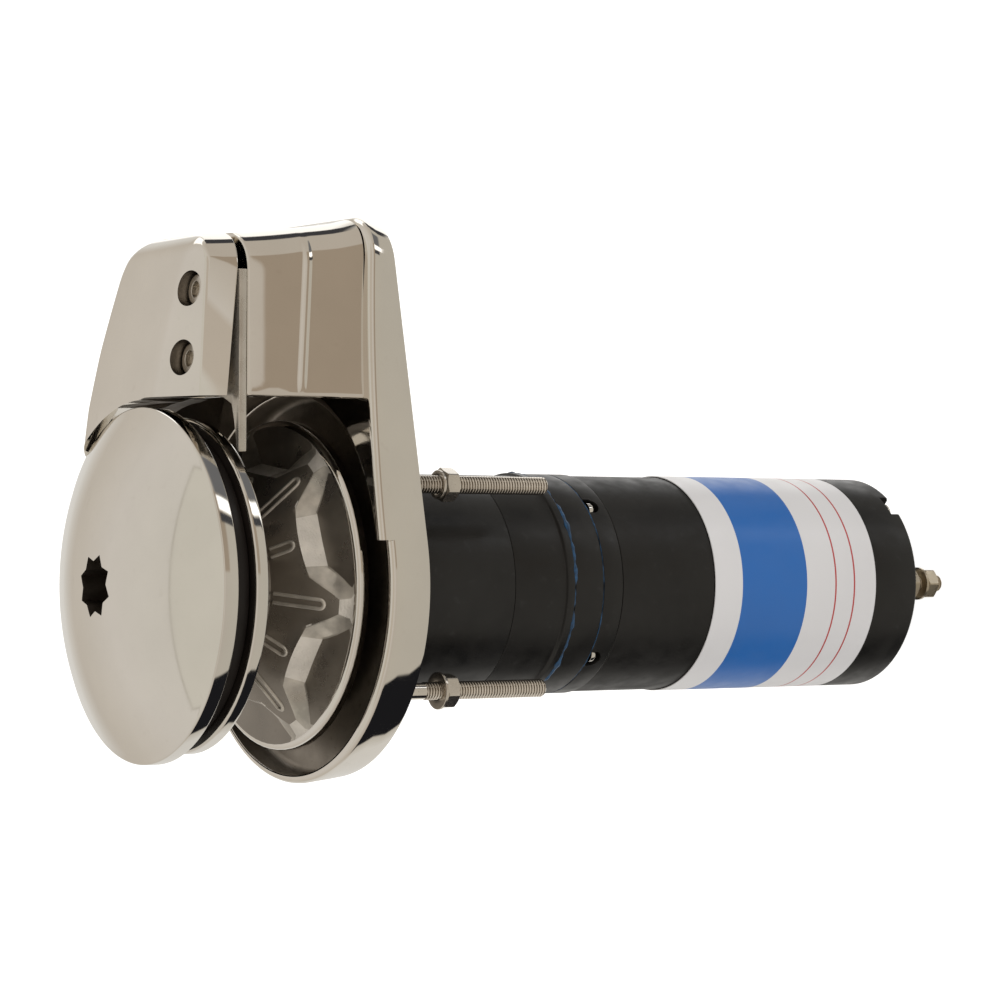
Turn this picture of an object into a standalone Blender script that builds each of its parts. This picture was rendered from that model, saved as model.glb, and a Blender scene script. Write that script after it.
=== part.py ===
"""Vertical anchor windlass: chain gypsy, clutch cap and chain pipe hood above the deck,
planetary gearbox and direct current motor below it.

Units are metres and +Z is up along the shaft. The origin is on the shaft axis at the deck
surface, under the base plate. +X points from the gypsy to the hood.
"""
import math

import bmesh
import bpy

# ---------------------------------------------------------------- driving dimensions
GAP = 0.0003                    # left between pieces that touch
ROUND_STEPS = 24                # sides of a large turned piece
SMALL_STEPS = 10                # sides of a small turned piece

BASE_R = 0.084                  # round end of the base plate, at the deck
BASE_FLARE = 0.003              # how far its wall leans out over BASE_BLANK
BASE_BLANK = 0.030              # height of the casting before its top is shaped
TAPER = math.radians(13.2)      # angle of each side to the X axis
BASE_END_X = 0.1575             # hood end of the base plate
CORNER_R = 0.022
RIM_Z = 0.020                   # top of the wall around the gypsy
STEP_X = 0.020                  # where that wall steps up to the hood's shelf
SHELF_Z = 0.0243                # shelf height at the shaft, falling with X squared
SHELF_FALL = 0.55
WELL_R = 0.0822
WELL_FLOOR = 0.008
HUB_R = 0.024
HUB_TOP = 0.0128
SEAT_R = 0.0497                 # shallow seat for the gearbox in the underside
SEAT_Z = 0.0015
CHAIN_HOLE = (0.112, -0.010)    # centre of the chain pipe
CHAIN_HOLE_R = 0.030

HOOD_SIDE_R = 0.0833            # hood side planes, distance from the shaft at z = 0
HOOD_SIDE_DRAFT = 0.1757
HOOD_END_X = 0.1574
HOOD_END_DRAFT = 0.121
HOOD_WALL = 0.005
HOOD_ROOF = 0.011
PART_Z = 0.0819                 # parting plane between housing and cover, at x = 0
PART_SLOPE = 0.094
PART_SLOT = 0.0010              # open line between housing and cover
COVER_TOP = 0.0964              # height of the cover's top at x = 0, falling with X squared
COVER_FALL = 0.656
SLANT_FOLD = 0.0124             # height of the cover's near fold over the parting plane
GYPSY_CLEAR_R = 0.078           # hood's round cut-out over the gypsy
NEAR_FACE_X = 0.079             # flat face of the hood on the chain's side
FAR_FACE_X = 0.050
STRIPPER_T = 0.0035
COVER_SCREW_XY = ((0.0937, -0.0285), (0.1225, -0.0285))

SHAFT_R = 0.0125
SHAFT_NECK_R = 0.0100
SHAFT_NECK_Z = 0.066
SHAFT_TOP = 0.0955
SHAFT_BOTTOM = -0.060

GYPSY_R = 0.0713
GYPSY_BOTTOM = 0.02235
GYPSY_TOP = 0.0756
RIM_Z_LOW = 0.02785             # groove side of each flange's rim
RIM_Z_HIGH = 0.0680
GROOVE_R = 0.038                # bottom of the groove and its conical faces
GROOVE_Z = 0.047
GROOVE_SLOPE = 0.638
POCKETS = 6
POCKET_ANGLE = math.radians(-67.0)   # middle of the first pocket, from +X
POCKET_ROWS = (                 # radius at the teeth, at the middle, wall top and foot, sunk
    (0.0713, 0.0713, 24.5, 20.9, True),
    (0.0620, 0.0620, 21.5, 17.0, True),
    (0.0527, 0.0514, 18.6, 12.8, True),
    (0.0505, 0.0480, 18.0, 12.8, False),
    (0.0380, 0.0380, 18.0, 12.8, False))

CAP_R = 0.0753
CAP_EDGE_Z = 0.092
CAP_SKIRT_R = 0.0733
CAP_SKIRT_Z = 0.0843
CAP_TOP = 0.1135
STAR_R = 0.0137
STAR_FLOOR = 0.0995

STUD_XY = tuple((sx * 0.0438, sy * 0.057) for sx in (1, -1) for sy in (-1, 1))
STUD_R = 0.0039
STUD_TIP = -0.075
NUT_AF = 0.013
NUT_TOP = -0.022
NUT_T = 0.0065

NOSE_R = 0.049
NOSE_END = -0.0653
RING_R = 0.0496
RING_LIP_R = 0.0503
RING_END = -0.0964
ADAPTER_END = -0.1119
PLATE_END = -0.1224
MOTOR_R = 0.050
CASE_R = 0.0494
CASE_END = -0.2699
LABEL_TOP = -0.1743
LABEL_END = -0.2695
CAP_FACE = -0.2956

MODULE = 0.0016
RING_TEETH = 48
PLANET_TEETH = 18
SUN_TEETH = 12
CENTRES = MODULE * (SUN_TEETH + PLANET_TEETH) / 2
PIN_R = 0.004
LOW_STAGE = (-0.0675, -0.0795)       # top and bottom of the output planets
HIGH_STAGE = (-0.0868, -0.0950)

BOLT_R = 0.0405                      # motor tie bolts
BOLT_ANGLE = math.radians(-41.3)
SCREW_ANGLES = (math.radians(-44.5), math.radians(-131.0))
SCREW_RADIUS = 0.0455
TERMINAL_Y = 0.035
TERMINAL_R = 0.004
TERMINAL_TIP = -0.3215

STEEL = (0.74, 0.71, 0.66)
BLACK = (0.02, 0.02, 0.021)
CAST_STEEL = (0.52, 0.50, 0.47)
DARK_STEEL = (0.30, 0.30, 0.31)
LABEL_WHITE = (0.80, 0.80, 0.82)


# ---------------------------------------------------------------- scene and materials
def clear_scene():
    for obj in list(bpy.data.objects):
        bpy.data.objects.remove(obj, do_unlink=True)


def collection(name):
    made = bpy.data.collections.new(name)
    bpy.context.scene.collection.children.link(made)
    return made


def material(name, colour, roughness, metallic):
    mat = bpy.data.materials.new(name)
    mat.use_nodes = True
    shader = mat.node_tree.nodes["Principled BSDF"]
    shader.inputs["Base Color"].default_value = (*colour, 1.0)
    shader.inputs["Roughness"].default_value = roughness
    shader.inputs["Metallic"].default_value = metallic
    return mat


def add_mesh(name, mesh, look=None, at=(0, 0, 0), parent=None):
    """Link a mesh as a part, or as a cutter where it is given no look."""
    obj = bpy.data.objects.new(name, mesh)
    obj.location = at
    if look:
        mesh.materials.append(material(name, *look))
        mesh.shade_smooth()
        mesh.set_sharp_from_angle(angle=math.radians(35))
        PARTS.objects.link(obj)
    else:
        obj.hide_render = True
        obj.display_type = "WIRE"
        CUTTERS.objects.link(obj)
    if parent:
        obj.parent = parent
        obj.matrix_parent_inverse = parent.matrix_basis.inverted()
    return obj


def axis_empty(name, at=(0, 0, 0)):
    empty = bpy.data.objects.new(name, None)
    empty.location = at
    empty.empty_display_size = 0.02
    PARTS.objects.link(empty)
    return empty


def boolean(obj, other, operation="DIFFERENCE", solver="EXACT"):
    cut = obj.modifiers.new(other.name, "BOOLEAN")
    cut.operation = operation
    cut.solver = solver
    cut.object = other
    return obj


# ---------------------------------------------------------------- shape helpers
def finish_mesh(name, bm):
    bmesh.ops.recalc_face_normals(bm, faces=bm.faces)
    mesh = bpy.data.meshes.new(name)
    bm.to_mesh(mesh)
    bm.free()
    return mesh


def turned(name, profile, look=None, steps=ROUND_STEPS, **place):
    """Turn a closed profile of (radius, z) points about Z, outer side listed top down."""
    mesh = bpy.data.meshes.new(name)
    count = len(profile)
    on_axis = profile[0][0] == 0 and profile[-1][0] == 0
    edges = [(i, i + 1) for i in range(count - 1)]
    if not on_axis:
        edges.append((count - 1, 0))
    mesh.from_pydata([(r, 0, z) for r, z in profile], edges, [])
    obj = add_mesh(name, mesh, look, **place)
    screw = obj.modifiers.new("turn", "SCREW")
    screw.axis = "Z"
    screw.steps = steps
    screw.render_steps = steps
    screw.use_merge_vertices = True
    screw.merge_threshold = 0.00001
    return obj


def rod(name, radius, top, bottom, look=None, steps=SMALL_STEPS, **place):
    return turned(name, [(0, top), (radius, top), (radius, bottom), (0, bottom)],
                  look, steps, **place)


def tube(name, outer, inner, top, bottom, look=None, steps=ROUND_STEPS, **place):
    profile = [(outer, top), (outer, bottom), (inner, bottom), (inner, top)]
    return turned(name, profile, look, steps, **place)


def loft(name, rings, look=None, **place):
    """Join rings of points, all of one length, with flat caps on the first and last."""
    bm = bmesh.new()
    loops = [[bm.verts.new(point) for point in ring] for ring in rings]
    count = len(rings[0])
    for low, high in zip(loops, loops[1:]):
        for i in range(count):
            j = (i + 1) % count
            bm.faces.new((low[i], low[j], high[j], high[i]))
    bm.faces.new(reversed(loops[0]))
    bm.faces.new(loops[-1])
    return add_mesh(name, finish_mesh(name, bm), look, **place)


def prism(name, outline, bottom, top, look=None, **place):
    rings = [[(x, y, z) for x, y in outline] for z in (bottom, top)]
    return loft(name, rings, look, **place)


def side_prism(name, outline, half_width):
    """Extrude an outline of (x, z) points along Y, as a cutter."""
    rings = [[(x, y, z) for x, z in outline] for y in (-half_width, half_width)]
    return loft(name, rings)


def box(name, low, high, look=None, **place):
    outline = [(low[0], low[1]), (high[0], low[1]), (high[0], high[1]), (low[0], high[1])]
    return prism(name, outline, low[2], high[2], look, **place)


def arc(radius, start, end, steps, centre=(0, 0)):
    points = []
    for i in range(steps + 1):
        angle = start + (end - start) * i / steps
        points.append((centre[0] + radius * math.cos(angle),
                       centre[1] + radius * math.sin(angle)))
    return points


def between(start, end, steps):
    """The points strictly between two points."""
    return [tuple(a + (b - a) * i / steps for a, b in zip(start, end)) for i in range(1, steps)]


def teardrop_corners(side_r, end_x, corner_r, steps=3):
    """Rounded corners where the tapering sides meet the square end, near one first."""
    quarter = math.pi / 2
    corner_x = end_x - corner_r
    corner_y = (side_r - corner_r - corner_x * math.sin(TAPER)) / math.cos(TAPER)
    near = arc(corner_r, TAPER - quarter, 0, steps, (corner_x, -corner_y))
    far = arc(corner_r, 0, quarter - TAPER, steps, (corner_x, corner_y))
    return near, far


def teardrop(side_r, end_x, corner_r, round_steps=22, side_steps=3, corner_steps=3):
    """Outline with a round end about the shaft, tapering sides and a square rounded end."""
    quarter = math.pi / 2
    round_end = arc(side_r, quarter - TAPER, 3 * quarter + TAPER, round_steps)
    near, far = teardrop_corners(side_r, end_x, corner_r, corner_steps)
    return (round_end + between(round_end[-1], near[0], side_steps) + near + far
            + between(far[-1], round_end[0], side_steps))


def parting(offset=0.0):
    return lambda x: PART_Z - PART_SLOPE * x + offset


def flat(z):
    return lambda x: z


def shelf_z(x):
    return SHELF_Z - SHELF_FALL * x * x


def cover_z(x):
    return COVER_TOP - COVER_FALL * x * x


def curved_top(name, height, start, far_z, steps=9, end=0.170):
    """Cutter whose face follows height(x) from start to end, closed at far_z."""
    xs = [start + (end - start) * i / steps for i in range(steps + 1)]
    outline = [(x, height(x)) for x in xs] + [(end, far_z), (start, far_z)]
    return side_prism(name, outline, 0.1)


def gear_outline(teeth, tip, root, thin=0.00022):
    """Trapezoid teeth, a little thinner than half the pitch so that they run freely."""
    pitch_r = MODULE * teeth / 2
    pressure = math.tan(math.radians(20))
    half = math.pi / (2 * teeth) - thin / pitch_r
    outward = 1 if tip > root else -1
    points = []
    for i in range(teeth):
        centre = 2 * math.pi * i / teeth
        for radius, side in ((root, -1), (tip, -1), (tip, 1), (root, 1)):
            lean = outward * (pitch_r - radius) * pressure
            angle = centre + side * (half + lean / pitch_r)
            points.append((radius * math.cos(angle), radius * math.sin(angle)))
    return points


def external_gear(teeth):
    pitch_r = MODULE * teeth / 2
    return gear_outline(teeth, pitch_r + 0.9 * MODULE, pitch_r - 1.25 * MODULE)


def hexagon(across_flats, turn=0.0):
    radius = across_flats / math.sqrt(3)
    return arc(radius, turn, turn + 2 * math.pi * 5 / 6, 5)


# ---------------------------------------------------------------- deck unit
def make_base_plate():
    rings = []
    for z, flare in ((0, 0), (BASE_BLANK, BASE_FLARE)):
        outline = teardrop(BASE_R + flare, BASE_END_X, CORNER_R)
        rings.append([(x, y, z) for x, y in outline])
    base = loft("base_plate", rings, (STEEL, 0.08, 1.0))
    boolean(base, curved_top("cut_shelf", shelf_z, STEP_X, 0.05))
    boolean(base, box("cut_rim", (-0.1, -0.1, RIM_Z), (STEP_X, 0.1, 0.05)))
    well = [(0, 0.05), (WELL_R, 0.05), (WELL_R, WELL_FLOOR), (HUB_R, WELL_FLOOR),
            (HUB_R, HUB_TOP), (0, HUB_TOP)]
    boolean(base, turned("cut_well", well, steps=36))
    boolean(base, rod("cut_base_bore", SHAFT_R + 0.0008, 0.05, -0.01, steps=20))
    seat = rod("cut_seal_seat", 0.0203, 0.05, 0.005, steps=20)
    seat.rotation_euler.z = 0.1
    boolean(base, seat)
    hole_at = (*CHAIN_HOLE, 0)
    boolean(base, rod("cut_chain_hole", CHAIN_HOLE_R, 0.05, -0.01, steps=20, at=hole_at))
    boolean(base, rod("cut_gearbox_seat", SEAT_R, SEAT_Z, -0.01, steps=32))
    groove = ring_between("cut_seal_groove", 0.0039, 0.0075, -0.001, 0.0018)
    boolean(base, groove)
    for i, (x, y) in enumerate(STUD_XY, 1):
        boolean(base, rod(f"cut_stud_{i}", STUD_R + GAP, 0.0072, -0.01, steps=8, at=(x, y, 0)))


def ring_between(name, outer_inset, inner_inset, bottom, top, look=None):
    """Closed band that follows the base plate's outline."""
    bm = bmesh.new()
    loops = []
    for inset, z in ((outer_inset, top), (outer_inset, bottom),
                     (inner_inset, bottom), (inner_inset, top)):
        outline = teardrop(BASE_R - inset, BASE_END_X - inset, CORNER_R - inset, 20, 1, 3)
        loops.append([bm.verts.new((x, y, z)) for x, y in outline])
    count = len(loops[0])
    for k in range(4):
        this, after = loops[k], loops[(k + 1) % 4]
        for i in range(count):
            j = (i + 1) % count
            bm.faces.new((this[i], after[i], after[j], this[j]))
    return add_mesh(name, finish_mesh(name, bm), look)


def make_deck_seal():
    ring_between("deck_seal", 0.0042, 0.0072, 0.0002, 0.0015, (BLACK, 0.8, 0.0))


def hood_ring(level):
    """Hood outline at a height given as a function of x: square on the near side of the
    gypsy and round on its far side, with the casting's draft."""
    z_mid = level(0.1)
    side_r = HOOD_SIDE_R - HOOD_SIDE_DRAFT * z_mid
    near, far = teardrop_corners(side_r, HOOD_END_X - HOOD_END_DRAFT * z_mid, CORNER_R)
    near_y = -(side_r - NEAR_FACE_X * math.sin(TAPER)) / math.cos(TAPER)
    far_y = (side_r - FAR_FACE_X * math.sin(TAPER)) / math.cos(TAPER)
    mouth = arc(GYPSY_CLEAR_R, math.acos(FAR_FACE_X / GYPSY_CLEAR_R), 0, 9)
    outline = ([(NEAR_FACE_X, near_y)] + near + far + [(FAR_FACE_X, far_y)] + mouth
               + [(NEAR_FACE_X, -0.004)])
    return [(x, y, level(x)) for x, y in outline]


def cavity_ring(level):
    """Inside of the hood, open to the gypsy."""
    z_mid = level(0.1)
    outline = teardrop(HOOD_SIDE_R - HOOD_SIDE_DRAFT * z_mid - HOOD_WALL,
                       HOOD_END_X - HOOD_END_DRAFT * z_mid - HOOD_WALL, CORNER_R - HOOD_WALL)
    return [(x, y, level(x)) for x, y in outline]


def make_housing():
    rings = [hood_ring(flat(-0.002)), hood_ring(parting())]
    housing = loft("chain_pipe_housing", rings, (STEEL, 0.08, 1.0))
    below = curved_top("cut_housing_foot", lambda x: shelf_z(x) + GAP, -0.1, -0.01, 14)
    boolean(housing, below)
    cavity = [cavity_ring(flat(-0.006)), cavity_ring(parting(-HOOD_ROOF))]
    boolean(housing, loft("cut_housing_cavity", cavity))
    boolean(housing, stripper_plate("cut_stripper_slot", STRIPPER_T + 0.0004, 0.0004))
    for i, at in enumerate(screw_places(), 1):
        cutter = rod(f"cut_tapped_{i}", 0.0043, 0.01, -0.02, steps=10, at=at)
        cutter.rotation_euler.y = math.atan(PART_SLOPE)
        boolean(housing, cutter)


def screw_places():
    return [(x, y, PART_Z - PART_SLOPE * x) for x, y in COVER_SCREW_XY]


def near_slant():
    """Cutter over the cover's near side: a chamfer up to a fold, then a gentler slant."""
    rings = []
    for x, wall_y, fold_y, top_y in ((0.045, -0.0610, -0.0450, -0.0100),
                                     (0.092, -0.0504, -0.0408, -0.0160),
                                     (0.152, -0.0398, -0.0364, -0.0270)):
        part = PART_Z + PART_SLOT - PART_SLOPE * x
        fold = PART_Z + SLANT_FOLD - PART_SLOPE * x
        top = cover_z(x)
        rise = (top - fold) / (top_y - fold_y)
        drop = (fold - part) / max(0.002, fold_y - wall_y)
        section = [(top_y + 0.03, top + 0.03 * rise), (fold_y, fold),
                   (fold_y - 0.03, fold - 0.03 * drop), (-0.12, fold - 0.03 * drop), (-0.12, 0.13)]
        rings.append([(x, y, z) for y, z in section])
    return loft("cut_cover_slant", rings)


def make_cover():
    rings = [hood_ring(parting(PART_SLOT)), hood_ring(flat(0.100))]
    cover = loft("hood_cover", rings, (STEEL, 0.10, 1.0))
    boolean(cover, curved_top("cut_cover_top", cover_z, 0.03, 0.12), solver="MANIFOLD")
    boolean(cover, near_slant(), solver="MANIFOLD")
    low = (0.086, -0.012, 0.05)
    boolean(cover, box("cut_cover_pocket", low, (0.136, 0.026, 0.0735)))
    for i, at in enumerate(screw_places(), 1):
        seat = [(0, 0.03), (0.0075, 0.03), (0.0075, 0.0052), (0.0043, 0.0052),
                (0.0043, -0.01), (0, -0.01)]
        cutter = turned(f"cut_counterbore_{i}", seat, steps=16, at=at)
        cutter.rotation_euler.y = math.atan(PART_SLOPE)
        boolean(cover, cutter)


def make_cover_screws():
    for i, at in enumerate(screw_places(), 1):
        body = [(0, 0.0135), (0.0065, 0.0135), (0.0065, 0.0055), (0.004, 0.0055),
                (0.004, -0.0115), (0, -0.0115)]
        screw = turned(f"cover_screw_{i}", body, (STEEL, 0.2, 1.0), SMALL_STEPS, at=at)
        screw.rotation_euler.y = math.atan(PART_SLOPE)
        socket = prism(f"cut_hex_{i}", hexagon(0.006), 0.0095, 0.02, at=at)
        socket.rotation_euler.y = math.atan(PART_SLOPE)
        boolean(screw, socket)


def stripper_plate(name, thickness, grow, look=None):
    """Finger plate under the parting plane: wide in the hood, a curved prong outside it."""
    side_r = HOOD_SIDE_R - HOOD_SIDE_DRAFT * 0.073 - (GAP - grow)
    reach = 0.1300 + grow * 8
    inner_y = -0.018 + grow

    def side_y(x):
        return -(side_r - x * math.sin(TAPER)) / math.cos(TAPER)

    tip_r = 0.0745
    tip_angle = math.asin(side_y(0.058) / 0.0745 + 0.012 / 0.0745)
    prong = arc(tip_r, tip_angle, math.radians(-24), 6)
    outline = ([(reach, side_y(reach)), (reach, inner_y), (0.0815, inner_y)]
               + prong[::-1] + [(0.0565, side_y(0.058))])
    level = PART_Z + 0.00005 - GAP + grow / 2
    rings = [[(x, y, level - PART_SLOPE * x - drop) for x, y in outline]
             for drop in (thickness, 0)]
    return loft(name, rings, look)


def make_stripper():
    plate = stripper_plate("chain_stripper", STRIPPER_T, 0, (STEEL, 0.2, 1.0))
    for i, at in enumerate(screw_places(), 1):
        cutter = rod(f"cut_stripper_hole_{i}", 0.0044, 0.01, -0.02, steps=10, at=at)
        cutter.rotation_euler.y = math.atan(PART_SLOPE)
        boolean(plate, cutter)


# ---------------------------------------------------------------- shaft, gypsy and clutch
def make_shaft(drive):
    profile = [(0, SHAFT_TOP), (SHAFT_NECK_R, SHAFT_TOP), (SHAFT_NECK_R, SHAFT_NECK_Z),
               (SHAFT_R, SHAFT_NECK_Z), (SHAFT_R, SHAFT_BOTTOM), (0, SHAFT_BOTTOM)]
    shaft = turned("main_shaft", profile, (STEEL, 0.25, 1.0), 24, parent=drive)
    boolean(shaft, box("cut_shaft_keyway", (0.0087, -0.0043, 0.0157), (0.02, 0.0043, 0.0323)))
    box("shaft_key", (0.009, -0.004, 0.016), (0.0160, 0.004, 0.032), (STEEL, 0.3, 1.0),
        parent=drive)


def make_lower_cone(drive):
    profile = [(0.042, 0.034), (0.050, 0.020), (0.055, 0.0185), (0.055, 0.0136),
               (0.0128, 0.0136), (0.0128, 0.034)]
    cone = turned("lower_clutch_cone", profile, (CAST_STEEL, 0.3, 1.0), parent=drive)
    boolean(cone, box("cut_cone_keyway", (0.005, -0.0043, 0.01), (0.0164, 0.0043, 0.04)))


def groove_rows():
    """Lower face of the chain groove as rows of (radius, height, angle), rim first: a cone
    with six pockets sunk into it, every row a full turn of the same number of points."""
    rows = []
    for tooth_r, middle_r, edge, floor, depth in POCKET_ROWS:
        cone = GROOVE_Z - GROOVE_SLOPE * (tooth_r - GROOVE_R)
        sunk = RIM_Z_LOW + 0.19 * (GYPSY_R - middle_r) if depth else cone
        cone = max(cone, RIM_Z_LOW)
        row = []
        for pocket in range(POCKETS):
            middle = POCKET_ANGLE + 2 * math.pi * pocket / POCKETS
            near_r = 0.25 * tooth_r + 0.75 * middle_r
            for turn, r, z in ((-30, tooth_r, cone), (-edge, tooth_r, cone),
                               (-floor, tooth_r, sunk), (-floor / 2, near_r, sunk),
                               (0, middle_r, sunk), (floor / 2, near_r, sunk),
                               (floor, tooth_r, sunk), (edge, tooth_r, cone)):
                row.append((r, z, middle + math.radians(turn)))
        rows.append(row)
    return rows


def make_gypsy():
    """Two flanges on one hub, alike but mirrored about the middle of the groove."""
    lower = groove_rows()
    upper = [[(r, RIM_Z_LOW + RIM_Z_HIGH - z, a) for r, z, a in row] for row in lower]
    count = len(lower[0])
    angles = [POCKET_ANGLE + 2 * math.pi * (i - 4) / count for i in range(count)]
    plain = [[(r, z, a) for a in angles] for r, z in (
        (GYPSY_R, GYPSY_BOTTOM), (0.0492, GYPSY_BOTTOM), (0.0424, 0.0346),
        (SHAFT_R + 0.0004, 0.0346), (SHAFT_R + 0.0004, 0.0646), (0.049, 0.0646),
        (0.058, GYPSY_TOP), (GYPSY_R, GYPSY_TOP))]
    rows = upper + lower[::-1] + plain
    bm = bmesh.new()
    loops = [[bm.verts.new((r * math.cos(a), r * math.sin(a), z)) for r, z, a in row]
             for row in rows]
    for k, this in enumerate(loops):
        after = loops[(k + 1) % len(loops)]
        for i in range(count):
            j = (i + 1) % count
            bm.faces.new((this[i], this[j], after[j], after[i]))
    add_mesh("gypsy", finish_mesh("gypsy", bm), (CAST_STEEL, 0.25, 1.0))


def make_clutch(lift, turn):
    lining = [(0.067, 0.0839), (0.067, 0.0762), (0.0578, 0.0762), (0.0488, 0.0652),
              (0.0442, 0.0652), (0.0531, 0.0764), (0.0531, 0.0839)]
    turned("clutch_lining", lining, (BLACK, 0.7, 0.0), parent=lift)
    dome_r = (CAP_R ** 2 + (CAP_TOP - CAP_EDGE_Z) ** 2) / (2 * (CAP_TOP - CAP_EDGE_Z))
    dome = []
    for i in range(6):
        radius = CAP_R * i / 5
        dome.append((radius, CAP_TOP - dome_r + math.sqrt(dome_r ** 2 - radius ** 2)))
    profile = dome + [(CAP_SKIRT_R, CAP_SKIRT_Z), (0.0526, CAP_SKIRT_Z), (0.0526, 0.0769),
                      (0.0436, 0.0668), (0.0103, 0.0668), (0.0103, 0.0962), (0, 0.0962)]
    cap = turned("clutch_cap", profile, (STEEL, 0.12, 1.0), 32, parent=turn)
    boolean(cap, prism("cut_star", star(), STAR_FLOOR, 0.12))


def star():
    """Eight-point star: two squares turned by 45 degrees."""
    inner = STAR_R * math.cos(math.pi / 4) / math.cos(math.pi / 8)
    points = []
    for i in range(16):
        radius = STAR_R if i % 2 == 0 else inner
        angle = math.pi * i / 8
        points.append((radius * math.cos(angle), radius * math.sin(angle)))
    return points


def make_seal_and_bearing():
    tube("shaft_seal", 0.0197, SHAFT_R + GAP, 0.0126, 0.0053, (BLACK, 0.7, 0.0), 24)
    tube("output_bearing", 0.026, SHAFT_R + GAP, -0.0124, -0.0276, (STEEL, 0.2, 1.0), 24)


# ---------------------------------------------------------------- deck fasteners
def make_studs():
    for i, (x, y) in enumerate(STUD_XY, 1):
        rod(f"mount_stud_{i}", STUD_R, 0.0069, STUD_TIP, (STEEL, 0.2, 1.0), 10, at=(x, y, 0))
        nut = prism(f"mount_nut_{i}", hexagon(NUT_AF, 0.3), NUT_TOP - NUT_T, NUT_TOP,
                    (STEEL, 0.2, 1.0), at=(x, y, 0))
        boolean(nut, rod(f"cut_nut_{i}", STUD_R + GAP, 0, -0.1, steps=10, at=(x, y, 0)))
        tube(f"mount_washer_{i}", 0.008, STUD_R + GAP, NUT_TOP + 0.002, NUT_TOP + GAP,
             (STEEL, 0.2, 1.0), SMALL_STEPS, at=(x, y, 0))


# ---------------------------------------------------------------- gearbox
def make_gearbox_cases():
    nose_top = SEAT_Z - GAP
    nose = [(NOSE_R, nose_top), (NOSE_R, NOSE_END), (0.0405, NOSE_END), (0.0405, -0.028),
            (0.0263, -0.028), (0.0263, -0.012), (SHAFT_R + 0.0007, -0.012),
            (SHAFT_R + 0.0007, nose_top)]
    turned("gearbox_nose", nose, (BLACK, 0.4, 0.0))
    ring = [(0, NOSE_END - GAP), (RING_R, NOSE_END - GAP), (RING_R, RING_END + 0.004),
            (RING_LIP_R, RING_END + 0.0036), (RING_LIP_R, RING_END), (0, RING_END)]
    housing = turned("ring_gear_housing", ring, (BLACK, 0.4, 0.0), 32)
    pitch_r = MODULE * RING_TEETH / 2
    teeth = gear_outline(RING_TEETH, pitch_r - 0.8 * MODULE, pitch_r + 1.25 * MODULE)
    boolean(housing, prism("cut_ring_teeth", teeth, -0.2, 0))
    adapter = [(MOTOR_R, RING_END - GAP), (MOTOR_R, ADAPTER_END), (0.016, ADAPTER_END),
               (0.016, -0.104), (0.008, -0.104), (0.008, RING_END - GAP)]
    adapter_obj = turned("gearbox_adapter", adapter, (BLACK, 0.4, 0.0))
    plate = [(MOTOR_R, ADAPTER_END - GAP), (MOTOR_R, PLATE_END), (0.0143, PLATE_END),
             (0.0143, -0.1145), (0.008, -0.1145), (0.008, ADAPTER_END - GAP)]
    plate_obj = turned("motor_front_plate", plate, (BLACK, 0.4, 0.0))
    tube("front_bearing", 0.014, 0.0063, -0.1148, -0.1221, (STEEL, 0.2, 1.0), SMALL_STEPS)
    for i, angle in enumerate(SCREW_ANGLES, 1):
        at = (SCREW_RADIUS * math.cos(angle), SCREW_RADIUS * math.sin(angle), 0)
        pocket = box(f"cut_screw_pocket_{i}", (-0.0035, -0.0055, -0.1212),
                     (0.01, 0.0055, -0.1150), at=at)
        pocket.rotation_euler.z = angle
        boolean(plate_obj, pocket)
        boolean(plate_obj, rod(f"cut_plate_screw_{i}", 0.0019, -0.10, -0.12, steps=8, at=at))
        boolean(adapter_obj, rod(f"cut_adapter_screw_{i}", 0.0019, -0.106, -0.12, steps=8, at=at))
        body = [(0, -0.1065), (0.0016, -0.1065), (0.0016, -0.1153), (0.003, -0.1153),
                (0.003, -0.1170), (0.0018, -0.1182), (0, -0.1182)]
        turned(f"flange_screw_{i}", body, (STEEL, 0.2, 1.0), 10, at=at)
    for i, angle in enumerate((BOLT_ANGLE, BOLT_ANGLE + math.pi), 1):
        at = (BOLT_R * math.cos(angle), BOLT_R * math.sin(angle), 0)
        boolean(plate_obj, rod(f"cut_plate_bolt_{i}", 0.0028, -0.1175, -0.13, steps=10, at=at))


def carrier_places():
    return [(CENTRES * math.cos(a), CENTRES * math.sin(a))
            for a in (0, 2 * math.pi / 3, 4 * math.pi / 3)]


def make_planet_stage(tag, carrier, top, bottom, axis):
    """Three planets on the carrier's pins; each planet turns about its own origin."""
    outline = external_gear(PLANET_TEETH)
    half_tooth = math.pi / PLANET_TEETH
    for i, (x, y) in enumerate(carrier_places(), 1):
        pin = rod(f"pin_{tag}_{i}", PIN_R, top + 0.004, bottom - GAP, steps=10, at=(x, y, 0))
        boolean(carrier, pin, "UNION")
        planet = prism(f"planet_{tag}_{i}", outline, bottom, top, (DARK_STEEL, 0.35, 1.0),
                       at=(x, y, 0), parent=axis)
        planet.rotation_euler.z = half_tooth + 2 * math.pi * (i - 1) / 3
        boolean(planet, rod(f"cut_planet_{tag}_{i}", PIN_R + GAP, 0.01, -0.2, steps=10,
                            at=(x, y, 0)))


def make_gears(drive, middle):
    profile = [(0.020, -0.0285), (0.020, -0.0555), (0.034, -0.0555), (0.034, -0.0650),
               (SHAFT_R + GAP, -0.0650), (SHAFT_R + GAP, -0.0285)]
    output = turned("output_carrier", profile, (DARK_STEEL, 0.35, 1.0), 24, parent=drive)
    make_planet_stage("low", output, *LOW_STAGE, drive)
    disc = rod("input_carrier", 0.032, -0.0813, -0.0855, (DARK_STEEL, 0.35, 1.0), 24,
               parent=middle)
    sun = prism("sun_low", external_gear(SUN_TEETH), -0.0830, LOW_STAGE[0])
    boolean(disc, sun, "UNION")
    make_planet_stage("high", disc, *HIGH_STAGE, middle)


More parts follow.
